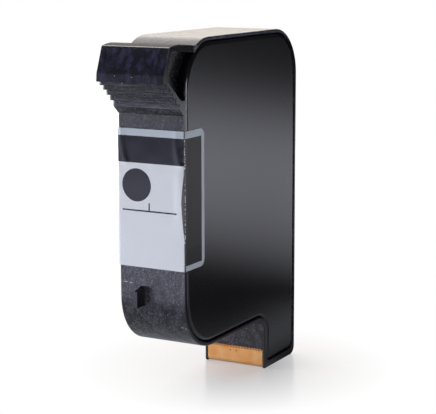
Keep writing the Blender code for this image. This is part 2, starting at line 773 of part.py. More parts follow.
def make_label():
    """A thin printed film, folded round the front's edges onto both covers."""
    section = []
    for offset in (LAMINATE_GAP + LABEL_SHEET, LAMINATE_GAP):
        side = HALF_WIDTH + offset
        bend = LABEL_BEND if offset > LAMINATE_GAP else LABEL_BEND - LABEL_SHEET
        run = rounded((
            (side, LABEL_FLAP, 0, 0),
            (side, -offset, bend, BEND_STEPS),
            (-side, -offset, bend, BEND_STEPS),
            (-side, LABEL_FLAP, 0, 0),
        ))
        section += run if not section else run[::-1]
    label = drawn_up("front_label", section, LABEL_FOOT, LABEL_TOP)
    trim = rounded((
        (-OVERSHOOT, LABEL_FOOT - OVERSHOOT, 0, 0),
        (LABEL_FLAP, LABEL_FOOT, LABEL_FLAP_RADIUS, SMALL_ARC_STEPS),
        (LABEL_FLAP, LABEL_TOP, LABEL_FLAP_RADIUS, SMALL_ARC_STEPS),
        (-OVERSHOOT, LABEL_TOP + OVERSHOOT, 0, 0),
    ))
    reach = HALF_WIDTH + OVERSHOOT
    combine(label, prism("label_trim", trim, -reach, reach), "INTERSECT")
    finish(label, (0.86, 0.88, 0.93), 0.3)
    return label


def main():
    for obj in list(bpy.data.objects):
        bpy.data.objects.remove(obj, do_unlink=True)
    make_outer_frame()
    make_inner_frame()
    make_bow_spring()
    plate_foot = FILM_CREST - SEAT_GAP - GUARD_SHEET - SEAT_GAP - PLATE_SHEET
    guard_foot = FILM_CREST - SEAT_GAP - GUARD_SHEET
    for side_name, side in SIDES:
        make_cover(side_name, side)
        make_film(side_name, side)
        make_filter(side_name, side)
        plate = make_sheet(side_name + "_pressure_plate", PLATE_INSET, PLATE_RADIUS,
                           plate_foot, PLATE_SHEET, side)
        finish(plate, (0.66, 0.66, 0.66), 0.35, 1.0)
        guard = make_sheet(side_name + "_edge_guard", GUARD_INSET, PLATE_RADIUS,
                           guard_foot, GUARD_SHEET, side)
        finish(guard, (0.85, 0.86, 0.88), 0.3)
    make_flex_circuit()
    make_bond_film()
    make_nozzle_plate()
    make_die()
    make_bead("front_seal_bead", -1)
    make_bead("rear_seal_bead", 1)
    make_fill_ball()
    make_label()
    carrier = bpy.data.objects.new("cartridge", None)
    bpy.context.collection.objects.link(carrier)
    for obj in bpy.data.objects:
        if obj is not carrier:
            obj.parent = carrier
    carrier.location.y = -MM * (DEPTH - GRIP_REACH) / 2


main()
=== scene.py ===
"""The looks of an inkjet ink cartridge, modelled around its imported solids.

X runs across the thickness, Y from the label and grip to the contacts, Z up.
The snout's underside stands at Z = 0. Lengths are written in millimetres, times MM.
"""

import math

import bmesh
import bpy
from mathutils import Matrix, Vector, noise


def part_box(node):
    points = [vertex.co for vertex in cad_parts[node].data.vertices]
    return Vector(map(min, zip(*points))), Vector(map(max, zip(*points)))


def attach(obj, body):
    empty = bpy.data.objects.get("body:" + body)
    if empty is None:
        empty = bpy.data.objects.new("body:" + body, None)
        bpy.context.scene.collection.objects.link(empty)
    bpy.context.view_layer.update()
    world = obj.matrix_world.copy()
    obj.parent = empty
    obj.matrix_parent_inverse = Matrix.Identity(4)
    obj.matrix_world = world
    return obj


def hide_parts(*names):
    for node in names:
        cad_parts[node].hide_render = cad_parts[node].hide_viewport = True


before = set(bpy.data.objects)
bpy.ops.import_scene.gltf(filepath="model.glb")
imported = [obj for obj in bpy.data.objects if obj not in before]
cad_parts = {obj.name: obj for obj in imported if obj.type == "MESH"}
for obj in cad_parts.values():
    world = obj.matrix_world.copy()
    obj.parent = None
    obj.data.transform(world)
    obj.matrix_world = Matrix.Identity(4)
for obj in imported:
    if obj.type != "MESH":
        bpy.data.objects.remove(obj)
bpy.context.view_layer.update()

MM = 0.001
NEAR = 0.02 * MM

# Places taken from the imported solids
FRAME_LOW, FRAME_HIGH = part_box("outer_frame")
LABEL_LOW, LABEL_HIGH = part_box("front_label")
FLEX_LOW, FLEX_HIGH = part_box("flex_circuit")
BALL_LOW, BALL_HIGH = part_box("fill_port_ball")

# The body's outline, seen from its side
DEPTH = 66.1 * MM
SIDE = FRAME_HIGH.x
BACK = FRAME_HIGH.y
TOP = FRAME_HIGH.z
FRONT = BACK - DEPTH
UNDERSIDE = 15.3 * MM
SNOUT_DEPTH = 19.9 * MM
SNOUT_FRONT = BACK - SNOUT_DEPTH
SNOUT_MIDDLE = BACK - SNOUT_DEPTH / 2
CROWN_RADIUS = 13.5 * MM
CHIN_RADIUS = 14.5 * MM
THROAT_RADIUS = 4.6 * MM
HEEL_RADIUS = 2.6 * MM
TOE_RADIUS = 0.6 * MM
LEAST_RADIUS = 0.3 * MM
ARC_STEP = 0.9 * MM

# The frame's section
RIM_WALL = 0.9 * MM
RIM_ROUND = 0.35 * MM
WALL = 2.6 * MM
LEDGE = SIDE - 1.8 * MM
SNOUT_FLOOR = 5.0 * MM
SNOUT_FRONT_EXTRA = 0.4 * MM
SNOUT_FLOOR_EXTRA = 1.0 * MM
COVER_HEEL_RADIUS = 3.0 * MM
COVER_TOE_RADIUS = 1.4 * MM
GAP = 0.3 * MM
LAMINATE_GAP = 0.1 * MM

# The finger grip
GRIP_FRONT = FRAME_LOW.y
GRIP_FACE_LEAN = 0.15 * MM
GRIP_FACE_FOOT = 88.1 * MM
GRIP_FACE_BEND = 90.2 * MM
GRIP_BROW = (GRIP_FRONT + 2.8 * MM, 97.1 * MM)
GRIP_RIDGE = (GRIP_FRONT + 6.2 * MM, 97.8 * MM)
GRIP_TOP_AT_ROOT = 96.3 * MM
GRIP_ROOT = 79.2 * MM
GRIP_STEPS = 5
GRIP_LAST_STEP = (FRONT - 2.2 * MM, 81.1 * MM)
GRIP_STEP_CURVE = 1.2
GRIP_EDGE_ROUND = 0.25 * MM
GRIP_RIDGE_ROUND = 2.0 * MM
GRIP_STEP_ROUND = 0.14 * MM
POCKET_DEPTH = 3.1 * MM
POCKET_WALL = 1.1 * MM
POCKET_TOP = 96.25 * MM
POCKET_TOP_DROP = 1.2 * MM
POCKET_FLOOR = 83.2 * MM
POCKET_FOOT = FRONT - 1.4 * MM
POCKET_NOSE = GRIP_FRONT + 1.55 * MM
POCKET_ROUND = 0.8 * MM

# The locating tab
TAB_TOP = 33.55 * MM
TAB_FOOT = 28.0 * MM
TAB_REACH = 3.7 * MM
TAB_SLOPE_DROP = 1.15 * MM
TAB_START = FRONT - 0.15 * MM
TAB_CENTRE = -2.95 * MM
TAB_ROOT_WIDTH = 1.3 * MM
TAB_TIP_WIDTH = 0.9 * MM

# The covers
COVER_SHEET = 0.5 * MM
COVER_BEND = 1.2 * MM
COVER_INSET = RIM_WALL + GAP
FLANGE_END = LEDGE + GAP
PRESS_TAB_LENGTH = 4.0 * MM
PRESS_TAB_DEPTH = 2.2 * MM
PRESS_TAB_TRIM = 0.03 * MM
PRESS_SLOT_GAP = 0.25 * MM

# The print head
FLEX_SHEET = 0.15 * MM
FLEX_BEND = 1.1 * MM
FLEX_FACE = BACK - 0.15 * MM
FLEX_FRONT_TOP = 5.7 * MM
CHANNEL_DEPTH = 0.4 * MM
CHANNEL_MARGIN = 0.2 * MM
HEAD_WINDOW = Vector((5.0, 16.6)) * MM
INK_SLOT = Vector((1.2, 10.6)) * MM
DIE_POCKET = Vector((3.6, 14.4)) * MM
DIE_POCKET_TOP = 1.45 * MM
BOND = Vector((15.6, 27.2)) * MM
BOND_RECESS_DEPTH = 0.25 * MM
BOND_FOOT = 5.2 * MM
FRINGE_PITCH = 0.52 * MM
FRINGE_HEIGHT = 0.6 * MM
PAD_RADIUS = 0.8 * MM
PAD_RIM = 0.12 * MM
PAD_SLOPE = 0.22 * MM
PAD_DIMPLE = 0.04 * MM
PAD_PITCH = Vector((2.1, 2.6)) * MM
PAD_FIRST_COLUMN = 1.8 * MM
PAD_MIDDLE = 18.5 * MM
PADS_IN_COLUMNS = (8, 7, 6, 5)
TRACE_PITCH = 0.62 * MM
SEAL_MARKS = ((-1.6 * MM, 18.35 * MM, 4.2 * MM), (0.4 * MM, 18.35 * MM, 4.2 * MM))
SEAL_MARK_RADIUS = 0.2 * MM
NOZZLE_ROW = (0.42 * MM, 0.5 * MM)
NOZZLE_PLATE_ROUND = 0.05 * MM
BEAD_ROUND = 0.1 * MM
MESH_PITCH = 0.3 * MM

# The label's print, from the photograph
LABEL_SHEET = 0.12 * MM
LABEL_BEND = 0.45 * MM
LABEL_CORNER = 2.0 * MM
LABEL_MESH = 0.6 * MM
WAVE_SIZE = 5 * MM
WAVE_HEIGHT = 0.03 * MM
CREASE_SIZE = 2 * MM
CREASE_HEIGHT = 0.12 * MM
LEFT_CREASE = 0.2
FLAP_PLAY = 0.08 * MM
BULGE_PLACE = 8.9 * MM
BULGE_HALF = 1.8 * MM
BULGE_TOP = 63 * MM
BULGE_LENGTH = 16 * MM
BULGE_HEIGHT = 0.22 * MM
BULGE_START = 6
RIPPLES = ((7.7 * MM, 0.7 * MM), (-8.9 * MM, 0.6 * MM))
RIPPLE_SWAY = 0.12
RIPPLE_HEIGHT = 0.2 * MM
RIPPLE_FADE = 1.5 * MM
BAND_FOOT = 66.3 * MM
BAND_TOP = 73.4 * MM
DISC_CENTRE = Vector((-4.42, 60.4)) * MM
DISC_RADIUS = 4.42 * MM
RULE_HEIGHT = 53.6 * MM
RULE_ENDS = (-8.8 * MM, 7.8 * MM)
RULE_THICKNESS = 0.42 * MM
TICK_PLACE = -0.6 * MM
TICK_TOP = 55.8 * MM
FLAP_BORDER = 1.45 * MM
FLAP_TOP_BORDER = 1.95 * MM
# How far a painted reflection, a brown crescent beside the right fold, reaches onto the front
REFLECTION_WIDTH = 0.9 * MM
# Below this height the flap's print is painted near black, a painted shade
FLAP_FOOT_TOP = 45 * MM
# Painted highlights: pale glints along the right fold, where the dark print is left out, across,
# back and up
FOLD_GLINTS = ((9.9 * MM, 10.3 * MM), (-28.15 * MM, -27.87 * MM), (46 * MM, 73 * MM))

# Scuffs on the front, as (x, z, half length) in mm
SCUFFS = (
    (-8.3, 33.9, 0.75), (-6.6, 33.75, 0.8), (8.0, 22.7, 0.5), (9.1, 22.5, 0.4),
    (-4.5, 89.8, 0.2), (0.6, 89.6, 0.2), (-3.2, 87.9, 0.25),
)
SCUFF_WIDTH = 0.13 * MM
SCUFFS_END = FRONT + 3 * MM

# The grip's face and the top are polished, and go over into the grain within these lengths
POLISH_START = 87.6 * MM
POLISH_END = 88.6 * MM
TOP_START = (94.6 * MM, 96.6 * MM)
ABOVE_BROW = 0.1 * MM
BEHIND_FACE = (0.25 * MM, 0.45 * MM)
BEFORE_CROWN = (5 * MM, 6 * MM)
BEFORE_BACK = (8 * MM, 4 * MM)
BEFORE_SIDE = (0.3 * MM, 0.1 * MM)
BELOW_STEPS = (-0.3 * MM, 0.2 * MM)
BEHIND_STEPS = 1.7 * MM

# The photograph's camera
CAMERA_PLACE = Vector((192.87, -342.80, 121.47)) * MM
CAMERA_AZIMUTH = math.radians(28.792)
CAMERA_ELEVATION = math.radians(10.249)
CAMERA_ROLL = math.radians(-0.116)
CAMERA_SENSOR = 36.0
CAMERA_LENS = 118.03

# The studio
BACKDROP_DIRECTION = Vector((-0.48, 0.87, 0.02)).normalized()
BACKDROP_CORE = math.radians(8)
BACKDROP_EDGE = math.radians(30)
BACKDROP_LIGHT = 1.15
ROOM_LIGHT = 0.045
FLOOR_RADIUS = 1300 * MM
FLOOR_HEIGHT = -0.05 * MM
FLOOR_LIFT = 0.34
COOLER_REACH = 12 * MM
LIFT_CENTRE = (0, 18 * MM, 0)
LIFT_START = 8 * MM
LIFT_END = 46 * MM
# How bright the sheet looks in reflections, as (mm behind the cartridge's middle, strength)
SHEEN = (
    (-1280, 0.02), (-980, 0.08), (-860, 0.25), (-780, 0.6), (-535, 0.75), (-465, 1.5), (-350, 1.8),
    (-190, 2.5), (-135, 1.1), (-70, 0.35), (10, 0.45), (22, 0.2), (34, 0.05), (60, 0.02), (98, 0.0),
    (112, 0.15), (130, 0.37), (155, 0.61), (190, 0.83), (230, 0.96), (300, 1.07), (380, 1.1),
    (450, 0.87), (500, 0.69), (560, 0.43), (640, 0.15), (720, 0.02), (800, 0.0), (900, 0.0),
    (1100, 0.0),
)
SIDE_SKEW = 0.3
# The camera's mirror image in a cover, and how its lines of sight over the sheet brighten aside
MIRROR_EYE = (CAMERA_PLACE.x - 2 * SIDE, -CAMERA_PLACE.y)
SIGHT_LINES = (0.497, 0.577)
SIGHT_SHEEN = (1.03, 1.62)
SIGHT_CURVE = 1.3
SIGHT_START = (90 * MM, 130 * MM)
FOOT_SHEEN = 0.32
FOOT_REACH = (29 * MM, 50 * MM)
FOOT_CONTACT = (9 * MM, 22 * MM)
FOOT_END = (90 * MM, 115 * MM)
# Lamps, as (name, place, what they point at, size, power, colour); the last one is the light
# that the amber film throws down on the sheet before it
GLOW_Y = SNOUT_FRONT - 5 * MM
LAMPS = (
    ("key_softbox", (-0.73, -0.34, 0.11), (0, 0, 0.05), (0.5, 0.4), 7.8, "#f1f5ff"),
    ("top_softbox", (-0.33, 0.42, 0.6), (0, 0, 0), (0.9, 0.9), 5.8, "#fff9f2"),
    ("strip_light", (0.6, -0.26, 0.11), (0, 0, 0.06), (0.1, 0.2), 0.9, "#f1f5ff"),
    ("film_glow", (0, GLOW_Y, 0.008), (0, GLOW_Y, 0), (0.016, 0.006), 0.0001, "#ff9a50"),
)


# Modelling by hand

def take(*objects):
    """Selects these objects alone; the first is the one that is worked on."""
    bpy.ops.object.select_all(action="DESELECT")
    for obj in objects:
        obj.select_set(True)
    bpy.context.view_layer.objects.active = objects[0]


def placed(name):
    """Names the primitive that was just added and moves its place into its mesh."""
    obj = bpy.context.object
    obj.name = name
    obj.data.name = name
    take(obj)
    bpy.ops.object.transform_apply(location=True, rotation=True, scale=True)
    return obj


def open_mesh(obj):
    take(obj)
    bpy.ops.object.mode_set(mode="EDIT")
    bpy.ops.mesh.select_mode(type="VERT")


def close_mesh():
    bpy.ops.object.mode_set(mode="OBJECT")


def pick_all():
    bpy.ops.mesh.select_all(action="SELECT")


def turn_outwards():
    """Points every face of the open mesh outwards."""
    pick_all()
    bpy.ops.mesh.normals_make_consistent(inside=False)


def pick(kind, *tests):
    """Selects what passes one of the tests with all its points, in the mesh that is open."""
    bpy.ops.mesh.select_mode(type=kind)
    bpy.ops.mesh.select_all(action="DESELECT")
    mesh = bpy.context.object.data
    bm = bmesh.from_edit_mesh(mesh)
    for item in {"VERT": bm.verts, "EDGE": bm.edges, "FACE": bm.faces}[kind]:
        points = [item.co] if kind == "VERT" else [vert.co for vert in item.verts]
        if any(all(test(point) for point in points) for test in tests):
            item.select_set(True)
    bm.select_flush_mode()
    bmesh.update_edit_mesh(mesh)


def draw_out(x=0.0, y=0.0, z=0.0):
    """Extrudes what is selected."""
    bpy.ops.mesh.extrude_region_move(TRANSFORM_OT_translate={"value": (x, y, z)})


def bevel(radius, segments, what):
    """Rounds the selected edges, or the corners of a flat sheet."""
    bpy.ops.mesh.bevel(offset=radius, segments=segments, profile=0.5, affect=what,
                       clamp_overlap=False)


def block(name, low, high):
    """A box from its lower to its upper corner, as a start for other work."""
    low = Vector(low)
    high = Vector(high)
    bpy.ops.mesh.primitive_cube_add(size=1, location=(low + high) / 2)
    bpy.context.object.scale = high - low
    return placed(name)


def join(*objects):
    take(*objects)
    bpy.ops.object.join()
    return objects[0]


def modify(obj, kind, **settings):
    """Adds a modifier with its settings and applies it."""
    modifier = obj.modifiers.new(kind, kind)
    for name, value in settings.items():
        setattr(modifier, name, value)
    take(obj)
    bpy.ops.object.modifier_apply(modifier=modifier.name)


def carve(obj, *tools, operation="DIFFERENCE"):
    """Cuts, joins or trims a piece by each tool, which is then thrown away."""
    for tool in tools:
        modify(obj, "BOOLEAN", operation=operation, object=tool)
        bpy.data.objects.remove(tool)


def line_inside(obj, thickness):
    """Gives a bare surface its thickness, inwards."""
    modify(obj, "SOLIDIFY", thickness=thickness, offset=-1)


def smooth(obj, degrees=30):
    take(obj)
    bpy.ops.object.shade_smooth_by_angle(angle=math.radians(degrees))


def flatten_shading(obj):
    """Lets the large faces rule the shading, so that the small roundings don't bend it."""
    modify(obj, "WEIGHTED_NORMAL", weight=100, keep_sharp=True)


def at_corner(place):
    """A test for what lies at the corner (y, z), at any X."""
    y, z = place
    return lambda point: abs(point.y - y) < NEAR and abs(point.z - z) < NEAR


def round_corner(place, radius):
    """Rounds one corner (y, z) of the flat sheet that is open."""
    pick("VERT", at_corner(place))
    bevel(radius, max(4, round(radius * math.pi / 2 / ARC_STEP)), "VERTICES")


def body_sheet(name, x, inset, snout_extra=0.0, floor_extra=0.0,
               heel=HEEL_RADIUS, toe=TOE_RADIUS):
    """A flat sheet across X with the body's L-shaped outline, drawn inset from it."""
    front = FRONT + inset
    back = BACK - inset
    top = TOP - inset
    floor = inset + floor_extra
    underside = UNDERSIDE + inset
    snout = SNOUT_FRONT + inset + snout_extra
    middle = (x, (front + back) / 2, (floor + top) / 2)
    bpy.ops.mesh.primitive_plane_add(size=1, location=middle, rotation=(0, math.pi / 2, 0))
    bpy.context.object.scale = (top - floor, back - front, 1)
    sheet = placed(name)
    open_mesh(sheet)
    for direction in ((0, 1, 0), (0, 0, 1)):
        pick_all()
        bpy.ops.mesh.bisect(plane_co=(x, snout, underside), plane_no=direction)
    pick("FACE", lambda point: point.y < snout + NEAR and point.z < underside + NEAR)
    bpy.ops.mesh.delete(type="FACE")
    pick_all()
    bpy.ops.mesh.dissolve_limited()
    corners = (
        (front, underside, CHIN_RADIUS - inset),
        (snout, underside, THROAT_RADIUS + inset),
        (snout, floor, toe - inset),
        (back, floor, heel - inset),
        (back, top, CROWN_RADIUS - inset),
        (front, top, CROWN_RADIUS - inset),
    )
    for y, z, radius in corners:
        round_corner((y, z), max(radius, LEAST_RADIUS))
    close_mesh()
    return sheet


def thicken(sheet, distance):
    """Draws a flat sheet out along X into a closed solid."""
    open_mesh(sheet)
    pick_all()
    draw_out(x=distance)
    turn_outwards()
    close_mesh()
    return sheet


def outline_solid(name, x, points, distance):
    """A solid with an outline (y, z) that is drawn point by point, filled and drawn out."""
    y, z = points[0]
    bpy.ops.mesh.primitive_plane_add(size=NEAR, location=(x, y, z))
    shape = placed(name)
    open_mesh(shape)
    pick_all()
    bpy.ops.mesh.merge(type="CENTER")
    for before, after in zip(points, points[1:]):
        draw_out(y=after[0] - before[0], z=after[1] - before[1])
    pick_all()
    bpy.ops.mesh.edge_face_add()
    draw_out(x=distance)
    turn_outwards()
    close_mesh()
    return shape


def round_edges(radius, segments, *tests):
    """Bevels the edges of the open mesh that pass one of the tests."""
    pick("EDGE", *tests)
    bevel(radius, segments, "EDGES")


# The outer frame

def step_corner(step):
    """The outer corner of one finger step; the steps steepen towards the frame."""
    share = step / GRIP_STEPS
    last_y, last_z = GRIP_LAST_STEP
    y = GRIP_FRONT + (last_y - GRIP_FRONT) * share
    z = GRIP_FACE_FOOT - (GRIP_FACE_FOOT - last_z) * share ** GRIP_STEP_CURVE
    return y, z


def finger_grip():
    """The grip, with its leaning face, ridged top and stepped underside."""
    root = FRONT + CROWN_RADIUS
    bend = (GRIP_FRONT + GRIP_FACE_LEAN, GRIP_FACE_BEND)
    points = [bend, (GRIP_FRONT, GRIP_FACE_FOOT)]
    for step in range(GRIP_STEPS):
        here = step_corner(step)
        following = step_corner(step + 1)
        points.append((following[0], here[1]))
        points.append(following)
    points += [(FRONT, GRIP_ROOT), (root, GRIP_ROOT), (root, GRIP_TOP_AT_ROOT),
               GRIP_RIDGE, GRIP_BROW]
    grip = outline_solid("grip", -SIDE, points, 2 * SIDE)
    open_mesh(grip)
    for place, radius in ((bend, GRIP_EDGE_ROUND), (GRIP_BROW, GRIP_EDGE_ROUND),
                          (GRIP_RIDGE, GRIP_RIDGE_ROUND)):
        round_edges(radius, 5, at_corner(place))
    steps = [at_corner(place) for place in points[1:2 * GRIP_STEPS + 2:2]]
    round_edges(GRIP_STEP_ROUND, 1, *steps)
    close_mesh()
    return grip


def grip_pocket(direction):
    """The hollow in one side of the grip."""
    brow = GRIP_BROW[0] + POCKET_WALL
    corners = [
        (brow, POCKET_TOP),
        (POCKET_NOSE, GRIP_FACE_FOOT + POCKET_WALL),
        (POCKET_FOOT, POCKET_FLOOR),
        (FRONT + RIM_WALL / 2, POCKET_FLOOR),
        (FRONT + CROWN_RADIUS / 2, POCKET_TOP - POCKET_TOP_DROP),
    ]
    pocket = outline_solid("pocket", direction * (SIDE - POCKET_DEPTH), corners,
                           direction * 2 * POCKET_DEPTH)
    open_mesh(pocket)
    for place in corners[:3]:
        round_edges(POCKET_ROUND, 5, at_corner(place))
    close_mesh()
    return pocket


def locating_tab():
    """The short blade low on the front wall, sloped on top and narrower at its tip."""
    half = TAB_ROOT_WIDTH / 2
    tab = block("tab", (TAB_CENTRE - half, FRONT - TAB_REACH, TAB_FOOT),
                (TAB_CENTRE + half, FRONT + WALL / 2, TAB_TOP))
    tip = FRONT - TAB_REACH
    open_mesh(tab)
    pick("FACE", lambda point: abs(point.y - tip) < NEAR)
    bpy.ops.transform.resize(value=(TAB_TIP_WIDTH / TAB_ROOT_WIDTH, 1, 1))
    pick("EDGE", lambda point: abs(point.y - tip) < NEAR and point.z > TAB_TOP - NEAR)
    bpy.ops.transform.translate(value=(0, 0, -TAB_SLOPE_DROP))
    round_edges(GRIP_STEP_ROUND / 2, 2, lambda point: point.y < FRONT)
    close_mesh()
    return tab


def press_places():
    """The covers' tabs, as (y, z, runs along z), on the middle line of the flange."""
    line = COVER_INSET + COVER_SHEET / 2
    places = [
        ((FRONT + CHIN_RADIUS + SNOUT_FRONT - THROAT_RADIUS) / 2, UNDERSIDE + line, False),
        (SNOUT_MIDDLE + SNOUT_FRONT_EXTRA / 2, line + SNOUT_FLOOR_EXTRA, False),
    ]
    for share in (0.15, 0.85):
        top_run = DEPTH - 2 * CROWN_RADIUS
        front_run = TOP - CROWN_RADIUS - UNDERSIDE - CHIN_RADIUS
        rear_run = TOP - CROWN_RADIUS - UNDERSIDE
        places.append((FRONT + CROWN_RADIUS + top_run * share, TOP - line, False))
        places.append((FRONT + line, UNDERSIDE + CHIN_RADIUS + front_run * share, True))
        places.append((BACK - line, UNDERSIDE + rear_run * share, True))
    return places


def press_blocks(name, inner, outer, growth):
    """One small block at each press tab's place, or its slot when grown."""
    blocks = []
    for y, z, runs_along_z in press_places():
        along = PRESS_TAB_LENGTH / 2 + growth
        across = COVER_SHEET / 2 - PRESS_TAB_TRIM + growth
        half_y, half_z = (across, along) if runs_along_z else (along, across)
        low_x, high_x = sorted((inner, outer))
        blocks.append(block(name, (low_x, y - half_y, z - half_z),
                            (high_x, y + half_y, z + half_z)))
    return join(*blocks)


def flex_channel():
    """The shallow channel for the flex circuit: down the snout, under it and up its back."""
    half = (FLEX_HIGH.x - FLEX_LOW.x) / 2 + CHANNEL_MARGIN
    rear_top = FLEX_HIGH.z + CHANNEL_MARGIN + GAP
    reach = 1.0 * MM
    front = SNOUT_FRONT + CHANNEL_DEPTH
    rear = BACK - CHANNEL_DEPTH
    points = [
        (SNOUT_FRONT - reach, UNDERSIDE - THROAT_RADIUS), (SNOUT_FRONT - reach, -reach),
        (BACK + reach, -reach), (BACK + reach, rear_top), (rear, rear_top),
        (rear, CHANNEL_DEPTH), (front, CHANNEL_DEPTH), (front, UNDERSIDE - THROAT_RADIUS),
    ]
    channel = outline_solid("channel", -half, points, 2 * half)
    open_mesh(channel)
    for place in points[5:7]:
        round_edges(FLEX_BEND - FLEX_SHEET - LAMINATE_GAP, 5, at_corner(place))
    close_mesh()
    return channel


def head_cuts():
    """What is cut in the snout for the chip, the adhesive film and the ink's way."""
    half = DIE_POCKET / 2
    die = block("die_cut", (-half.x, SNOUT_MIDDLE - half.y, LAMINATE_GAP),
                (half.x, SNOUT_MIDDLE + half.y, DIE_POCKET_TOP))
    half_bond = BOND.x / 2
    bond = block("bond_cut", (-half_bond, BACK - CHANNEL_DEPTH - BOND_RECESS_DEPTH, BOND_FOOT),
                 (half_bond, BACK - LAMINATE_GAP, BOND_FOOT + BOND.y))
    half = INK_SLOT / 2
    ink = block("ink_cut", (-half.x, SNOUT_MIDDLE - half.y, CHANNEL_DEPTH),
                (half.x, SNOUT_MIDDLE + half.y, SNOUT_FLOOR + WALL))
    return die, bond, ink


def fill_port():
    """The round hole for the fill ball."""
    middle = (BALL_LOW + BALL_HIGH) / 2
    radius = (BALL_HIGH.x - BALL_LOW.x) / 2 + GAP
    bpy.ops.mesh.primitive_cylinder_add(vertices=40, radius=radius, depth=2 * WALL,
                                        location=(middle.x, middle.y, UNDERSIDE + WALL / 2))
    return placed("port_cut")


def make_outer_frame():
    body = thicken(body_sheet("cartridge_frame", -SIDE, 0), 2 * SIDE)
    open_mesh(body)
    for side in (-SIDE, SIDE):
        round_edges(RIM_ROUND, 4, lambda point: abs(point.x - side) < NEAR)
    close_mesh()
    carve(body, finger_grip(), locating_tab(), operation="UNION")
    for direction in (-1, 1):
        carve(body, grip_pocket(direction))
        recess = body_sheet("recess", direction * LEDGE, RIM_WALL, SNOUT_FRONT_EXTRA,
                            SNOUT_FLOOR_EXTRA, COVER_HEEL_RADIUS + COVER_INSET,
                            COVER_TOE_RADIUS + COVER_INSET)
        carve(body, thicken(recess, direction * WALL))
        carve(body, press_blocks("slot", direction * (LEDGE - PRESS_TAB_DEPTH),
                                 direction * (LEDGE + GAP), PRESS_SLOT_GAP))
    heel = COVER_HEEL_RADIUS + COVER_INSET
    ink_space = body_sheet("ink_space", -SIDE - WALL, WALL, SNOUT_FRONT_EXTRA,
                           SNOUT_FLOOR - WALL, heel, heel)
    carve(body, thicken(ink_space, 2 * (SIDE + WALL)))
    carve(body, flex_channel(), *head_cuts(), fill_port())
    smooth(body)
    flatten_shading(body)
    return body


# The covers

def make_cover(side_name, direction):
    """A pressed cover: the face, its rounded bend, the flange and the press tabs."""
    face = direction * SIDE
    cover = body_sheet(side_name + "_side_cover", face, COVER_INSET, SNOUT_FRONT_EXTRA,
                       SNOUT_FLOOR_EXTRA, COVER_HEEL_RADIUS + COVER_INSET,
                       COVER_TOE_RADIUS + COVER_INSET)
    open_mesh(cover)
    pick("EDGE", lambda point: True)
    bpy.ops.mesh.extrude_edges_move(
        TRANSFORM_OT_translate={"value": (direction * (FLANGE_END - SIDE), 0, 0)})
    round_edges(COVER_BEND, 7, lambda point: abs(point.x - face) < NEAR)
    turn_outwards()
    close_mesh()
    line_inside(cover, COVER_SHEET)
    tabs = press_blocks("tabs", direction * (LEDGE - PRESS_TAB_DEPTH + GAP),
                        direction * (FLANGE_END + GAP / 2), 0)
    carve(cover, tabs, operation="UNION")
    smooth(cover)
    flatten_shading(cover)
    return cover


# The label

def label_lift(point):
    """How far the film stands off its wall: waves, ripples, a creased fold, a bulge."""
    wave = (1 + noise.noise(point / WAVE_SIZE)) * WAVE_HEIGHT
    to_fold = math.hypot(LABEL_HIGH.x - abs(point.x), point.y - LABEL_LOW.y)
    crease = noise.noise(Vector((point.x, point.y, point.z * 2)) / CREASE_SIZE) * CREASE_HEIGHT
    crease *= math.exp(-to_fold / MM) * (1 if point.x > 0 else LEFT_CREASE)
    if point.y > LABEL_LOW.y + LABEL_BEND:
        return -min(wave + abs(crease), FLAP_PLAY)
    across = (point.x - BULGE_PLACE) / BULGE_HALF
    down = (BULGE_TOP - point.z) / BULGE_LENGTH
    bulge = max(0, 1 - across ** 2) * max(0, 1 - down ** 2) * BULGE_HEIGHT
    bulge *= min(1, max(0, 1 + down * BULGE_START))
    ripple = 0
    for place, half in RIPPLES:
        sway = (BAND_TOP - point.z) * RIPPLE_SWAY
        ripple += math.exp(-((point.x - place - sway * sway / half) / half) ** 2)
    ripple *= RIPPLE_HEIGHT * min(1, max(0, (point.z - BAND_FOOT + RIPPLE_FADE) / RIPPLE_FADE))
    return wave + crease + bulge + ripple


def cut_up(low, high, step, direction):
    """Bisects the open mesh along one direction at even steps."""
    count = round((high - low) / step)
    for index in range(1, count):
        place = Vector(direction) * (low + (high - low) * index / count)
        pick_all()
        bpy.ops.mesh.bisect(plane_co=place, plane_no=direction)


def make_label():
    """The printed film, wrapped round the front's edges onto both covers."""
    low, high = LABEL_LOW, LABEL_HIGH
    size = high - low
    bpy.ops.mesh.primitive_plane_add(size=1, location=(0, low.y, (low.z + high.z) / 2),
                                     rotation=(math.pi / 2, 0, 0))
    bpy.context.object.scale = (size.x, size.z, 1)
    label = placed("wrap_label")
    open_mesh(label)
    pick("EDGE", lambda point: point.x > high.x - NEAR)
    draw_out(y=size.y)
    pick("EDGE", lambda point: point.x < low.x + NEAR and point.y < low.y + NEAR)
    draw_out(y=size.y)
    pick("VERT", lambda point: point.y > high.y - NEAR)
    bevel(LABEL_CORNER, 8, "VERTICES")
    round_edges(LABEL_BEND, 5,
                lambda point: abs(point.x) > high.x - NEAR and point.y < low.y + NEAR)
    cut_up(low.z, high.z, LABEL_MESH, (0, 0, 1))
    cut_up(low.x + LABEL_BEND, high.x - LABEL_BEND, LABEL_MESH, (1, 0, 0))
    cut_up(low.y + LABEL_BEND, high.y, 2 * LABEL_MESH, (0, 1, 0))
    turn_outwards()
    close_mesh()
    normals = [vertex.normal.copy() for vertex in label.data.vertices]
    for vertex, normal in zip(label.data.vertices, normals):
        vertex.co += normal * label_lift(vertex.co)
        vertex.co.x = max(low.x, min(high.x, vertex.co.x))
    line_inside(label, LABEL_SHEET)
    smooth(label, 50)
    return label


# The print head

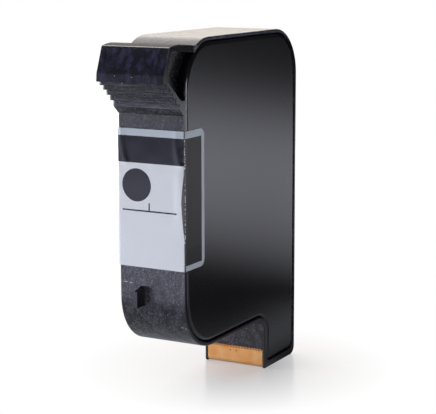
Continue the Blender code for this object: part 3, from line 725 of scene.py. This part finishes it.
def make_flex_circuit():
    """The amber film that wraps the snout, with its window and the fringe at its front end."""
    width = FLEX_HIGH.x - FLEX_LOW.x
    front = FLEX_LOW.y
    foot = FLEX_LOW.z
    bpy.ops.mesh.primitive_plane_add(size=1, location=(0, (front + FLEX_FACE) / 2, foot))
    bpy.context.object.scale = (width, FLEX_FACE - front, 1)
    flex = placed("amber_flex")
    open_mesh(flex)
    pick("EDGE", lambda point: point.y < front + NEAR)
    draw_out(z=FLEX_FRONT_TOP - foot)
    pick("EDGE", lambda point: point.y > FLEX_FACE - NEAR)
    draw_out(z=FLEX_HIGH.z - foot)
    for y in (front, FLEX_FACE):
        round_edges(FLEX_BEND, 8, lambda point: abs(point.y - y) < NEAR and point.z < foot + NEAR)
    turn_outwards()
    close_mesh()
    line_inside(flex, FLEX_SHEET)
    half = HEAD_WINDOW / 2
    window = block("window", (-half.x, SNOUT_MIDDLE - half.y, -FLEX_BEND),
                   (half.x, SNOUT_MIDDLE + half.y, FLEX_BEND / 2))
    count = int(width / FRINGE_PITCH)
    first = -(count - 1) / 2 * FRINGE_PITCH
    half = FRINGE_PITCH / 4
    slot = block("fringe", (first - half, front - FLEX_BEND, FLEX_FRONT_TOP - FRINGE_HEIGHT),
                 (first + half, front + FLEX_BEND, FLEX_FRONT_TOP + FRINGE_HEIGHT))
    modify(slot, "ARRAY", count=count, use_relative_offset=False, use_constant_offset=True,
           constant_offset_displace=(FRINGE_PITCH, 0, 0))
    carve(flex, window, slot)
    smooth(flex)
    return flex


def pad_places():
    places = []
    for column, count in enumerate(PADS_IN_COLUMNS):
        x = PAD_FIRST_COLUMN + column * PAD_PITCH.x
        for row in range(count):
            z = PAD_MIDDLE + (row - (count - 1) / 2) * PAD_PITCH.y
            places += [(x, z), (-x, z)]
    return places


def make_contact_pads():
    """Gold pads with a soft rim and a dimple, one model copied to each place."""
    top = FLEX_HIGH.y
    foot = FLEX_FACE - FLEX_SHEET / 4
    places = pad_places()
    x, z = places[0]
    bpy.ops.mesh.primitive_cylinder_add(vertices=24, radius=PAD_RADIUS, depth=top - foot,
                                        location=(x, (top + foot) / 2, z),
                                        rotation=(-math.pi / 2, 0, 0))
    first = placed("contact_pads")
    open_mesh(first)
    pick("FACE", lambda point: point.y > top - NEAR)
    bpy.ops.mesh.inset(thickness=PAD_RIM)
    bpy.ops.mesh.inset(thickness=PAD_SLOPE)
    bpy.ops.transform.translate(value=(0, -PAD_DIMPLE, 0))
    close_mesh()
    pads = [first]
    for pad_x, pad_z in places[1:]:
        take(first)
        bpy.ops.object.duplicate()
        copy = bpy.context.object
        copy.location = (pad_x - x, 0, pad_z - z)
        pads.append(placed("contact_pad"))
    pads = join(*pads)
    smooth(pads, 40)
    return pads


def make_nozzle_plate():
    low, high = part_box("nozzle_plate")
    plate = block("gold_nozzle_plate", low, high)
    open_mesh(plate)
    round_edges(NOZZLE_PLATE_ROUND, 3, lambda point: point.z < low.z + NEAR)
    close_mesh()
    smooth(plate)
    return plate


def make_bead(node):
    """A bead of potting resin, domed where it settled over the bonded end."""
    low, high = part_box(node)
    bead = block(node.replace("seal", "potting"), low, high)
    open_mesh(bead)
    round_edges(BEAD_ROUND, 4, lambda point: True)
    close_mesh()
    smooth(bead, 60)
    return bead


def make_fill_ball():
    """The pressed-in ball, lapped round."""
    middle = (BALL_LOW + BALL_HIGH) / 2
    bpy.ops.mesh.primitive_ico_sphere_add(subdivisions=4, radius=(BALL_HIGH.x - BALL_LOW.x) / 2,
                                          location=middle)
    ball = placed("port_ball")
    smooth(ball, 60)
    return ball


# Materials

def srgb(code):
    """A colour written as #RRGGBB, in linear light."""
    parts = [int(code[start:start + 2], 16) / 255 for start in (1, 3, 5)]
    linear = [part / 12.92 if part <= 0.04045 else ((part + 0.055) / 1.055) ** 2.4
              for part in parts]
    return (*linear, 1.0)


def new_material(name, colour, roughness, **sockets):
    """A Principled surface with its plain values on the shader's own sockets."""
    material = bpy.data.materials.new(name)
    material.use_nodes = True
    shader = material.node_tree.nodes["Principled BSDF"]
    shader.inputs["Base Color"].default_value = srgb(colour)
    shader.inputs["Roughness"].default_value = roughness
    for socket, value in sockets.items():
        shader.inputs[socket.replace("_", " ")].default_value = value
    return material


def add(owner, kind, inputs=None, **settings):
    """Adds a node with its settings; an input takes a value or another node's output."""
    made = owner.node_tree.nodes.new("ShaderNode" + kind)
    for name, value in settings.items():
        setattr(made, name, value)
    for socket, value in (inputs or {}).items():
        if isinstance(value, bpy.types.NodeSocket):
            owner.node_tree.links.new(value, made.inputs[socket])
        else:
            made.inputs[socket].default_value = value
    return made


def calculate(owner, operation, *values):
    """The result of a Math node on numbers or outputs; a longer row is worked through in turn."""
    if operation in ("MULTIPLY", "MAXIMUM") and len(values) > 2:
        values = (calculate(owner, operation, *values[:-1]), values[-1])
    return add(owner, "Math", dict(enumerate(values)), operation=operation).outputs[0]


def times(owner, *values):
    """The product of numbers or outputs."""
    return calculate(owner, "MULTIPLY", *values)


def within(owner, value, low, high):
    """1 where a value lies between two others, and 0 elsewhere."""
    return calculate(owner, "COMPARE", value, (low + high) / 2, (high - low) / 2)


def feed(material, socket, output):
    shader = material.node_tree.nodes["Principled BSDF"]
    material.node_tree.links.new(output, shader.inputs[socket])


def surface_place(material):
    return add(material, "TexCoord").outputs["Object"]


def coordinates(material):
    """How far across, back and up a point lies."""
    return add(material, "SeparateXYZ", {0: surface_place(material)}).outputs


def grain(material, size, detail=2.0, stretch=(1, 1, 1)):
    """Cloudy noise whose lumps have a real size, longer where the stretch is under 1."""
    place = add(material, "Mapping", {"Vector": surface_place(material), "Scale": stretch})
    made = add(material, "TexNoise", {"Vector": place.outputs["Vector"], "Scale": 1 / size,
                                      "Detail": detail})
    return made.outputs["Fac"]


def spread(material, value, low, high, first=0.3, last=0.7):
    """Stretches part of a value's range over another range."""
    return add(material, "MapRange", {"Value": value, "From Min": first, "From Max": last,
                                      "To Min": low, "To Max": high}).outputs["Result"]


def blend(owner, share, first, second):
    """Goes from one number or colour to another, each plain or another node's output."""
    if isinstance(second, str) or getattr(second, "type", "VALUE") == "RGBA":
        ends = [srgb(end) if isinstance(end, str) else end for end in (first, second)]
        return add(owner, "Mix", {0: share, 6: ends[0], 7: ends[1]}, data_type="RGBA").outputs[2]
    return add(owner, "Mix", {0: share, 2: first, 3: second}).outputs[0]


def bump(material, height, depth):
    made = add(material, "Bump", {"Height": height, "Distance": depth})
    feed(material, "Normal", made.outputs["Normal"])


def scuff_marks(material):
    """Short pale scuffs where the corners of other things have rubbed the front."""
    x, y, z = coordinates(material)
    marks = []
    for place, height, length in SCUFFS:
        along = calculate(material, "SUBTRACT", x, place * MM)
        along = calculate(material, "DIVIDE", along, length * MM)
        across = calculate(material, "SUBTRACT", z, height * MM)
        across = calculate(material, "DIVIDE", across, SCUFF_WIDTH)
        away = calculate(material, "ADD", times(material, along, along),
                         times(material, across, across))
        marks.append(spread(material, away, 1, 0, 0, 1))
    in_front = calculate(material, "LESS_THAN", y, SCUFFS_END)
    return times(material, calculate(material, "MAXIMUM", *marks), in_front)


def on_tab(material):
    """1 on the locating tab, which stands before the front wall, and 0 elsewhere."""
    _, y, z = coordinates(material)
    before = calculate(material, "LESS_THAN", y, TAB_START)
    low = calculate(material, "LESS_THAN", z, TAB_TOP + NEAR)
    return times(material, before, low)


def glass_filled_polyester():
    """Black glass-filled polyester: an eroded grain full of pale specks, and a polished top."""
    material = new_material("glass_filled_polyester", "#151518", 0.4, IOR=1.62)
    across, depth, height = coordinates(material)
    past_bend = calculate(material, "SUBTRACT", height, GRIP_FACE_BEND)
    past_bend = calculate(material, "MAXIMUM", past_bend, 0.0)
    lean = (GRIP_BROW[0] - GRIP_FRONT) / (GRIP_BROW[1] - GRIP_FACE_BEND)
    behind_face = calculate(material, "MULTIPLY_ADD", past_bend, -lean, depth)
    face = spread(material, behind_face, 1, 0, *[GRIP_FRONT + length for length in BEHIND_FACE])
    crown = spread(material, depth, 0, 1, *[FRONT + length for length in BEFORE_CROWN])
    back = spread(material, depth, 1, 0, *[BACK - length for length in BEFORE_BACK])
    high = spread(material, height, 0, 1, POLISH_START, POLISH_END)
    polish = times(material, high, back, calculate(material, "MAXIMUM", face, crown))
    side = calculate(material, "ABSOLUTE", across)
    side = spread(material, side, 0, 1, *[SIDE - length for length in BEFORE_SIDE])
    above_brow = calculate(material, "GREATER_THAN", height, GRIP_BROW[1] + ABOVE_BROW)
    ridge = times(material, above_brow, calculate(material, "SUBTRACT", 1.0, polish))
    top = spread(material, height, 0, 1, *TOP_START)
    fine = grain(material, 0.42 * MM, 3)
    drawn = grain(material, 1.6 * MM, 2, (1, 1, 0.5))
    mottled = calculate(material, "ADD", times(material, fine, 0.6),
                        times(material, drawn, 0.4))
    last_y, last_z = GRIP_LAST_STEP
    on_steps = spread(material, height, 0, 0.6, *[last_z + length for length in BELOW_STEPS])
    dull = spread(material, mottled, 0.3, 0.17, 0.42, 0.58)
    dull = blend(material, on_steps, dull, 0.16)
    dull = blend(material, side, dull, 0.15)
    dull = blend(material, ridge, dull, 0.65)
    satin = spread(material, top, 0.24, 0.26, 0, 1)
    feed(material, "Roughness", blend(material, polish, dull, satin))
    specks = spread(material, fine, 0, 1, 0.6, 0.76)
    rough_tone = blend(material, spread(material, mottled, 0, 1, 0.41, 0.6), "#030304", "#4d4c52")
    rough_tone = blend(material, specks, rough_tone, "#7c7b80")
    # Painted shade: the grain on the grip's stepped underside is darkened, up to 60 per cent
    # towards near black.
    rough_tone = blend(material, on_steps, rough_tone, "#050506")
    down_steps = spread(material, height, 1, 0, last_z, GRIP_FACE_FOOT)
    down_steps = calculate(material, "POWER", down_steps, 1 / GRIP_STEP_CURVE)
    deepest = calculate(material, "MULTIPLY_ADD", down_steps, last_y - GRIP_FRONT,
                        GRIP_FRONT + BEHIND_STEPS)
    on_riser = times(material, calculate(material, "LESS_THAN", depth, deepest),
                     calculate(material, "LESS_THAN", height, GRIP_FACE_FOOT), on_steps)
    lines = spread(material, grain(material, 0.36 * MM, 2, (0.04, 1, 1)), 0, 1, 0.5, 0.62)
    rough_tone = blend(material, times(material, lines, on_riser), rough_tone, "#565458")
    # Painted shade: each riser goes near black towards its top, under the step above.
    down_riser = calculate(material, "FRACT", times(material, down_steps, GRIP_STEPS))
    painted_riser_shade = spread(material, down_riser, 1.5, 0, 0.1, 0.4)
    rough_tone = blend(material, times(material, painted_riser_shade, on_riser), rough_tone, "#020202")
    # Painted shade: the frame's side faces and the grip's ridge are near black.
    rough_tone = blend(material, calculate(material, "MAXIMUM", side, ridge), rough_tone, "#060505")
    cloudy = blend(material, spread(material, drawn, 0, 1, 0.4, 0.66), "#15151f", "#33324a")
    tone = blend(material, polish, rough_tone, cloudy)
    # Painted shade: the locating tab is near black all over.
    tone = blend(material, on_tab(material), tone, "#030304")
    feed(material, "Base Color", blend(material, scuff_marks(material), tone, "#c4c4ca"))
    polished_relief = spread(material, top, 0.15, 1.2, 0, 1)
    rough_relief = calculate(material, "ADD", spread(material, side, 1, 0.2, 0, 1),
                             times(material, ridge, 5.0))
    relief = blend(material, polish, rough_relief, polished_relief)
    bump(material, times(material, mottled, relief), 0.11 * MM)
    return material


def satin_steel_paint():
    """Satin black stoving paint on pressed steel: soft reflections with a faint orange peel."""
    material = new_material("satin_steel_paint", "#0d0d0e", 0.2, IOR=1.6)
    feed(material, "Roughness", spread(material, grain(material, 0.5 * MM), 0.17, 0.22))
    bump(material, grain(material, 1.4 * MM, 1), 0.003 * MM)
    return material


def printed_label_film():
    """White polyester film, printed dark and varnished: crisp fields under a clear gloss."""
    material = new_material("printed_label_film", "#dfe3ee", 0.16, IOR=1.5)
    place = surface_place(material)
    x, y, z = coordinates(material)
    band = within(material, z, BAND_FOOT, BAND_TOP)
    on_print = add(material, "VectorMath", {0: place, 1: (1, 0, 1)}, operation="MULTIPLY")
    centre = (DISC_CENTRE.x, 0, DISC_CENTRE.y)
    from_centre = add(material, "VectorMath", {0: on_print.outputs[0], 1: centre},
                      operation="DISTANCE")
    disc = calculate(material, "LESS_THAN", from_centre.outputs["Value"], DISC_RADIUS)
    half = RULE_THICKNESS / 2
    rule = times(material, within(material, x, *RULE_ENDS),
                 within(material, z, RULE_HEIGHT - half, RULE_HEIGHT + half))
    tick = times(material, within(material, z, RULE_HEIGHT, TICK_TOP),
                 within(material, x, TICK_PLACE - half, TICK_PLACE + half))
    # Painted reflection: a brown crescent on the front beside the right fold, widest at the top of
    # the film's bulge and narrowing downwards.
    down = calculate(material, "SUBTRACT", BULGE_TOP, z)
    down = calculate(material, "DIVIDE", down, BULGE_LENGTH)
    reflection_reach = calculate(material, "SUBTRACT", 1.0, times(material, down, down))
    reflection_reach = times(material, calculate(material, "MAXIMUM", reflection_reach, 0.0),
                  spread(material, down, 0, 1, -0.05, 0.4))
    reflection_edge = calculate(material, "MULTIPLY_ADD", reflection_reach, -REFLECTION_WIDTH, SIDE)
    painted_reflection = calculate(material, "GREATER_THAN", x, reflection_edge)
    front_print_and_reflection = calculate(material, "MAXIMUM", band, disc, rule, tick, painted_reflection)
    foot, head = LABEL_LOW.z + FLAP_BORDER, LABEL_HIGH.z - FLAP_TOP_BORDER
    flap_print = within(material, y, FRONT - LABEL_BEND, LABEL_HIGH.y - FLAP_BORDER)
    flap_print = times(material, flap_print, within(material, z, foot, head))
    on_front = calculate(material, "LESS_THAN", y, LABEL_LOW.y + LABEL_BEND)
    on_field = calculate(material, "LESS_THAN", z, BAND_TOP)
    on_field = times(material, on_front, on_field)
    # Painted shade: the white film is greyer on the flaps and in the strip above the band.
    paper = blend(material, on_field, "#c8d0d8", "#eceff3")
    dark = blend(material, on_front, flap_print, front_print_and_reflection)
    # Painted highlights: pale glints along the right fold, where the dark print is left out.
    painted_fold_glints = calculate(material, "GREATER_THAN", grain(material, 0.5 * MM, 1), 0.53)
    for value, ends in zip((x, y, z), FOLD_GLINTS):
        painted_fold_glints = times(material, painted_fold_glints, within(material, value, *ends))
    dark = times(material, dark, calculate(material, "SUBTRACT", 1.0, painted_fold_glints))
    # Painted shade: the flap's print goes near black below its foot line, and brown above it.
    flap_ink_and_shade = blend(material, spread(material, z, 0, 1, FLAP_FOOT_TOP - MM, FLAP_FOOT_TOP),
                     "#020202", "#1b1712")
    # The front's own dark ink, and the brown of the painted reflection beside the fold.
    front_ink_and_reflection = blend(material, painted_reflection, "#0c0d16", "#574f44")
    ink = blend(material, on_front, flap_ink_and_shade, front_ink_and_reflection)
    feed(material, "Base Color", blend(material, dark, paper, ink))
    feed(material, "Roughness", spread(material, on_front, 0.42, 0.14, 0, 1))
    bump(material, grain(material, 2.5 * MM, 1), 0.006 * MM)
    return material


def amber_polyimide():
    """Polyimide film over copper foil: a warm amber, with the traces darker beneath its gloss."""
    material = new_material("amber_polyimide", "#f6b066", 0.34, IOR=1.6, Metallic=0.2)
    x, y, z = coordinates(material)
    amber = blend(material, spread(material, grain(material, 3 * MM), 0, 1), "#f8ab58", "#ffc987")
    wave = calculate(material, "PINGPONG", x, TRACE_PITCH / 2)
    trace = spread(material, wave, 0, 1, TRACE_PITCH * 0.22, TRACE_PITCH * 0.28)
    behind = calculate(material, "GREATER_THAN", y, SNOUT_MIDDLE)
    trace = times(material, trace, behind)
    colour = blend(material, trace, amber, "#b06a30")
    marks = []
    for place in SEAL_MARKS:
        away = add(material, "VectorMath", {0: surface_place(material), 1: place},
                   operation="DISTANCE")
        marks.append(calculate(material, "LESS_THAN", away.outputs["Value"], SEAL_MARK_RADIUS))
    # Painted shade: the film's front half is darkened towards its foot, where it bends under the
    # snout.
    foot = spread(material, z, 0.45, 0, 0.2 * MM, 1.6 * MM)
    foot = times(material, foot, calculate(material, "LESS_THAN", y, SNOUT_MIDDLE))
    colour = blend(material, foot, colour, "#a8642a")
    marked = calculate(material, "MAXIMUM", *marks)
    feed(material, "Base Color", blend(material, marked, colour, "#805026"))
    bump(material, grain(material, 0.6 * MM), 0.004 * MM)
    return material


def electroformed_gold():
    """Gold over electroformed nickel: a bright plate with its two fine rows of nozzles."""
    material = new_material("electroformed_gold", "#d9b46c", 0.22, Metallic=1.0)
    aside = calculate(material, "ABSOLUTE", coordinates(material)[0])
    row = within(material, aside, *NOZZLE_ROW)
    feed(material, "Base Color", blend(material, row, "#d9b46c", "#3a2c14"))
    bump(material, grain(material, 0.3 * MM), 0.002 * MM)
    return material


def brushed(name, colour, roughness, stretch):
    """Rolled stainless: long fine streaks in its gloss along the rolling."""
    material = new_material(name, colour, roughness, Metallic=1.0)
    streaks = grain(material, 0.25 * MM, 3, stretch)
    feed(material, "Roughness", spread(material, streaks, roughness * 0.75, roughness * 1.3))
    bump(material, streaks, 0.002 * MM)
    return material


def woven_mesh():
    """Fine woven wire: a close bumpy weave of bright steel."""
    material = new_material("woven_steel_mesh", "#a9a8a5", 0.38, Metallic=1.0)
    _, y, z = coordinates(material)
    weave = calculate(material, "ADD", calculate(material, "PINGPONG", y, MESH_PITCH / 2),
                      calculate(material, "PINGPONG", z, MESH_PITCH / 2))
    share = spread(material, weave, 0, 1, 0, MESH_PITCH)
    feed(material, "Base Color", blend(material, share, "#4d4c4b", "#b9b8b4"))
    bump(material, share, 0.03 * MM)
    return material


def plain(name, colour, roughness, grain_size, depth, **sockets):
    """A finish with a fine grain in its gloss, for the pieces inside."""
    material = new_material(name, colour, roughness, **sockets)
    fine = grain(material, grain_size)
    feed(material, "Roughness", spread(material, fine, roughness * 0.8, min(roughness * 1.25, 1)))
    bump(material, fine, depth)
    return material


# The studio

def make_camera():
    data = bpy.data.cameras.new("photo_camera")
    data.sensor_width = CAMERA_SENSOR
    data.lens = CAMERA_LENS
    data.clip_start = 10 * MM
    camera = bpy.data.objects.new("photo_camera", data)
    bpy.context.scene.collection.objects.link(camera)
    a, e, r = CAMERA_AZIMUTH, CAMERA_ELEVATION, CAMERA_ROLL
    back = Vector((math.sin(a) * math.cos(e), -math.cos(a) * math.cos(e), math.sin(e)))
    right = Vector((math.cos(a), math.sin(a), 0))
    up = back.cross(right)
    rolled_right = right * math.cos(r) + up * math.sin(r)
    rolled_up = up * math.cos(r) - right * math.sin(r)
    matrix = Matrix((rolled_right, rolled_up, back)).transposed().to_4x4()
    matrix.translation = CAMERA_PLACE
    camera.matrix_world = matrix
    bpy.context.scene.camera = camera


def make_lamp(name, place, target, size, power, colour):
    data = bpy.data.lights.new(name, "AREA")
    data.shape = "RECTANGLE"
    data.size, data.size_y = size
    data.energy = power
    data.color = srgb(colour)[:3]
    lamp = bpy.data.objects.new(name, data)
    bpy.context.scene.collection.objects.link(lamp)
    lamp.location = place
    lamp.rotation_euler = (Vector(target) - Vector(place)).to_track_quat("-Z", "Y").to_euler()


def make_world():
    """A white backdrop behind the cartridge and a dimmer room before it; white to the camera."""
    world = bpy.data.worlds.new("studio")
    bpy.context.scene.world = world
    world.use_nodes = True
    direction = add(world, "TexCoord").outputs["Generated"]
    facing = add(world, "VectorMath", {0: direction, 1: BACKDROP_DIRECTION},
                 operation="DOT_PRODUCT")
    edge, core = math.cos(BACKDROP_EDGE), math.cos(BACKDROP_CORE)
    light = add(world, "MapRange", {"Value": facing.outputs["Value"], "From Min": edge,
                                    "From Max": core, "To Min": ROOM_LIGHT,
                                    "To Max": BACKDROP_LIGHT}, interpolation_type="SMOOTHSTEP")
    seen = add(world, "LightPath").outputs["Is Camera Ray"]
    tint = blend(world, light.outputs["Result"], "#e9edff", "#fff4e8")
    colour = blend(world, seen, tint, "#ffffff")
    strength = blend(world, seen, light.outputs["Result"], 1.0)
    background = world.node_tree.nodes["Background"]
    world.node_tree.links.new(colour, background.inputs["Color"])
    world.node_tree.links.new(strength, background.inputs["Strength"])


def ramp_over(owner, value, stops):
    """A smooth curve of strengths over a length, set down as (place in mm, strength)."""
    first, last = stops[0][0] * MM, stops[-1][0] * MM
    highest = max(strength for place, strength in stops)
    made = add(owner, "ValToRGB", {"Fac": spread(owner, value, 0, 1, first, last)})
    ramp = made.color_ramp
    ramp.interpolation = "EASE"
    while len(ramp.elements) < len(stops):
        ramp.elements.new(0.5)
    for stop, (place, strength) in zip(ramp.elements, stops):
        share = strength / highest
        stop.position = (place * MM - first) / (last - first)
        stop.color = (share, share, share, 1)
    return times(owner, made.outputs["Color"], highest)


def make_floor():
    """A white sheet that takes the shadow near the cartridge and goes over into the backdrop."""
    bpy.ops.mesh.primitive_circle_add(vertices=96, radius=FLOOR_RADIUS, fill_type="NGON",
                                      location=(0, 0, FLOOR_HEIGHT))
    floor = placed("floor")
    sheet = new_material("white_paper_sweep", "#f4f5f8", 0.2)
    away = add(sheet, "VectorMath", {0: surface_place(sheet), 1: LIFT_CENTRE}, operation="DISTANCE")
    lift = spread(sheet, away.outputs["Value"], FLOOR_LIFT, 1, LIFT_START, LIFT_END)
    x, y, _ = coordinates(sheet)
    aside = calculate(sheet, "ABSOLUTE", x)
    sheen = ramp_over(sheet, calculate(sheet, "MULTIPLY_ADD", aside, -SIDE_SKEW, y), SHEEN)
    line = calculate(sheet, "DIVIDE", calculate(sheet, "ADD", aside, MIRROR_EYE[0]),
                     calculate(sheet, "ADD", y, MIRROR_EYE[1]))
    share = calculate(sheet, "POWER", spread(sheet, line, 0, 1, *SIGHT_LINES), SIGHT_CURVE)
    aside_sheen = spread(sheet, share, *SIGHT_SHEEN, 0, 1)
    behind = spread(sheet, y, 0, 1, *SIGHT_START)
    evened = blend(sheet, behind, 1.0, aside_sheen)
    sheen = times(sheet, sheen, evened)
    foot = times(sheet, spread(sheet, aside, FOOT_SHEEN, 0, *FOOT_REACH),
                 spread(sheet, y, 1, 0, *FOOT_END), spread(sheet, aside, 0.05, 1, *FOOT_CONTACT))
    sheen = calculate(sheet, "MAXIMUM", sheen, foot)
    in_front = spread(sheet, y, 0, 1, FRONT, FRONT - COOLER_REACH)
    path = add(sheet, "LightPath").outputs
    mirrored = calculate(sheet, "MAXIMUM", path["Is Glossy Ray"], path["Is Transmission Ray"])
    to_camera = path["Is Camera Ray"]
    seen = calculate(sheet, "MAXIMUM", times(sheet, to_camera, lift), mirrored)
    strength = calculate(sheet, "MAXIMUM", sheen, to_camera)
    tint = blend(sheet, in_front, "#f1f2ff", "#e2e4ff")
    tint = blend(sheet, to_camera, tint, "#ffffff")
    white = add(sheet, "Emission", {"Color": tint, "Strength": strength})
    paper = sheet.node_tree.nodes["Principled BSDF"].outputs["BSDF"]
    mix = add(sheet, "MixShader", {0: seen, 1: paper, 2: white.outputs["Emission"]})
    surface = sheet.node_tree.nodes["Material Output"].inputs["Surface"]
    sheet.node_tree.links.new(mix.outputs["Shader"], surface)
    floor.data.materials.append(sheet)


def make_studio():
    bpy.context.scene.view_settings.view_transform = "Standard"
    make_camera()
    make_world()
    make_floor()
    for lamp in LAMPS:
        make_lamp(*lamp)


# Putting it together

def finish(piece, material, slot, *nodes):
    """Gives a piece its one finish, hangs it under the root and hides the imported solids it
    replaces.
    """
    piece.data.materials.clear()
    piece.data.materials.append(material)
    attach(piece, "root")
    if nodes:
        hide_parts(*nodes)


def dress_node(node, material):
    """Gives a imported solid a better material; its shape stays."""
    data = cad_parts[node].data
    data.materials.clear()
    data.materials.append(material)


INNER_FINISHES = (
    (("inner_frame",), plain, ("soft_polyolefin", "#2b2b2f", 0.5, 0.6 * MM, 0.01 * MM)),
    (("left_film", "right_film"), plain,
     ("metallised_barrier_film", "#b4b8bf", 0.24, 1.2 * MM, 0.02 * MM)),
    (("left_edge_guard", "right_edge_guard"), plain,
     ("polyester_sheet", "#dfe2e6", 0.15, 0.8 * MM, 0.003 * MM)),
    (("left_pressure_plate", "right_pressure_plate"), brushed,
     ("rolled_stainless_sheet", "#b9b9b8", 0.34, (1, 0.04, 1))),
    (("bow_spring",), brushed, ("stainless_spring_strip", "#bdbab3", 0.26, (1, 1, 0.04))),
    (("left_filter_screen", "right_filter_screen"), woven_mesh, ()),
    (("print_head_die",), plain, ("sawn_silicon", "#42464f", 0.14, 0.2 * MM, 0.001 * MM)),
    (("flex_bond_film",), plain, ("hot_melt_film", "#cfc49a", 0.5, 0.7 * MM, 0.01 * MM)),
)


def main():
    make_studio()
    finish(make_outer_frame(), glass_filled_polyester(), "frame_plastic", "outer_frame")
    paint = satin_steel_paint()
    for side_name, direction in (("right", 1), ("left", -1)):
        finish(make_cover(side_name, direction), paint, "cover_paint", side_name + "_cover")
    finish(make_label(), printed_label_film(), "label_film", "front_label")
    finish(make_flex_circuit(), amber_polyimide(), "flex_polyimide", "flex_circuit")
    gold = plain("gold_plating", "#eecb86", 0.48, 0.3 * MM, 0.002 * MM, Metallic=1.0)
    finish(make_contact_pads(), gold, "nozzle_gold")
    finish(make_nozzle_plate(), electroformed_gold(), "nozzle_gold", "nozzle_plate")
    resin = plain("potting_resin", "#15140f", 0.2, 0.5 * MM, 0.004 * MM)
    for node in ("front_seal_bead", "rear_seal_bead"):
        finish(make_bead(node), resin, "encapsulant", node)
    steel = plain("polished_steel", "#c8c8ca", 0.14, 0.4 * MM, 0.001 * MM, Metallic=1.0)
    finish(make_fill_ball(), steel, "ball_steel", "fill_port_ball")
    for nodes, make_finish, values in INNER_FINISHES:
        material = make_finish(*values)
        for node in nodes:
            dress_node(node, material)


main()
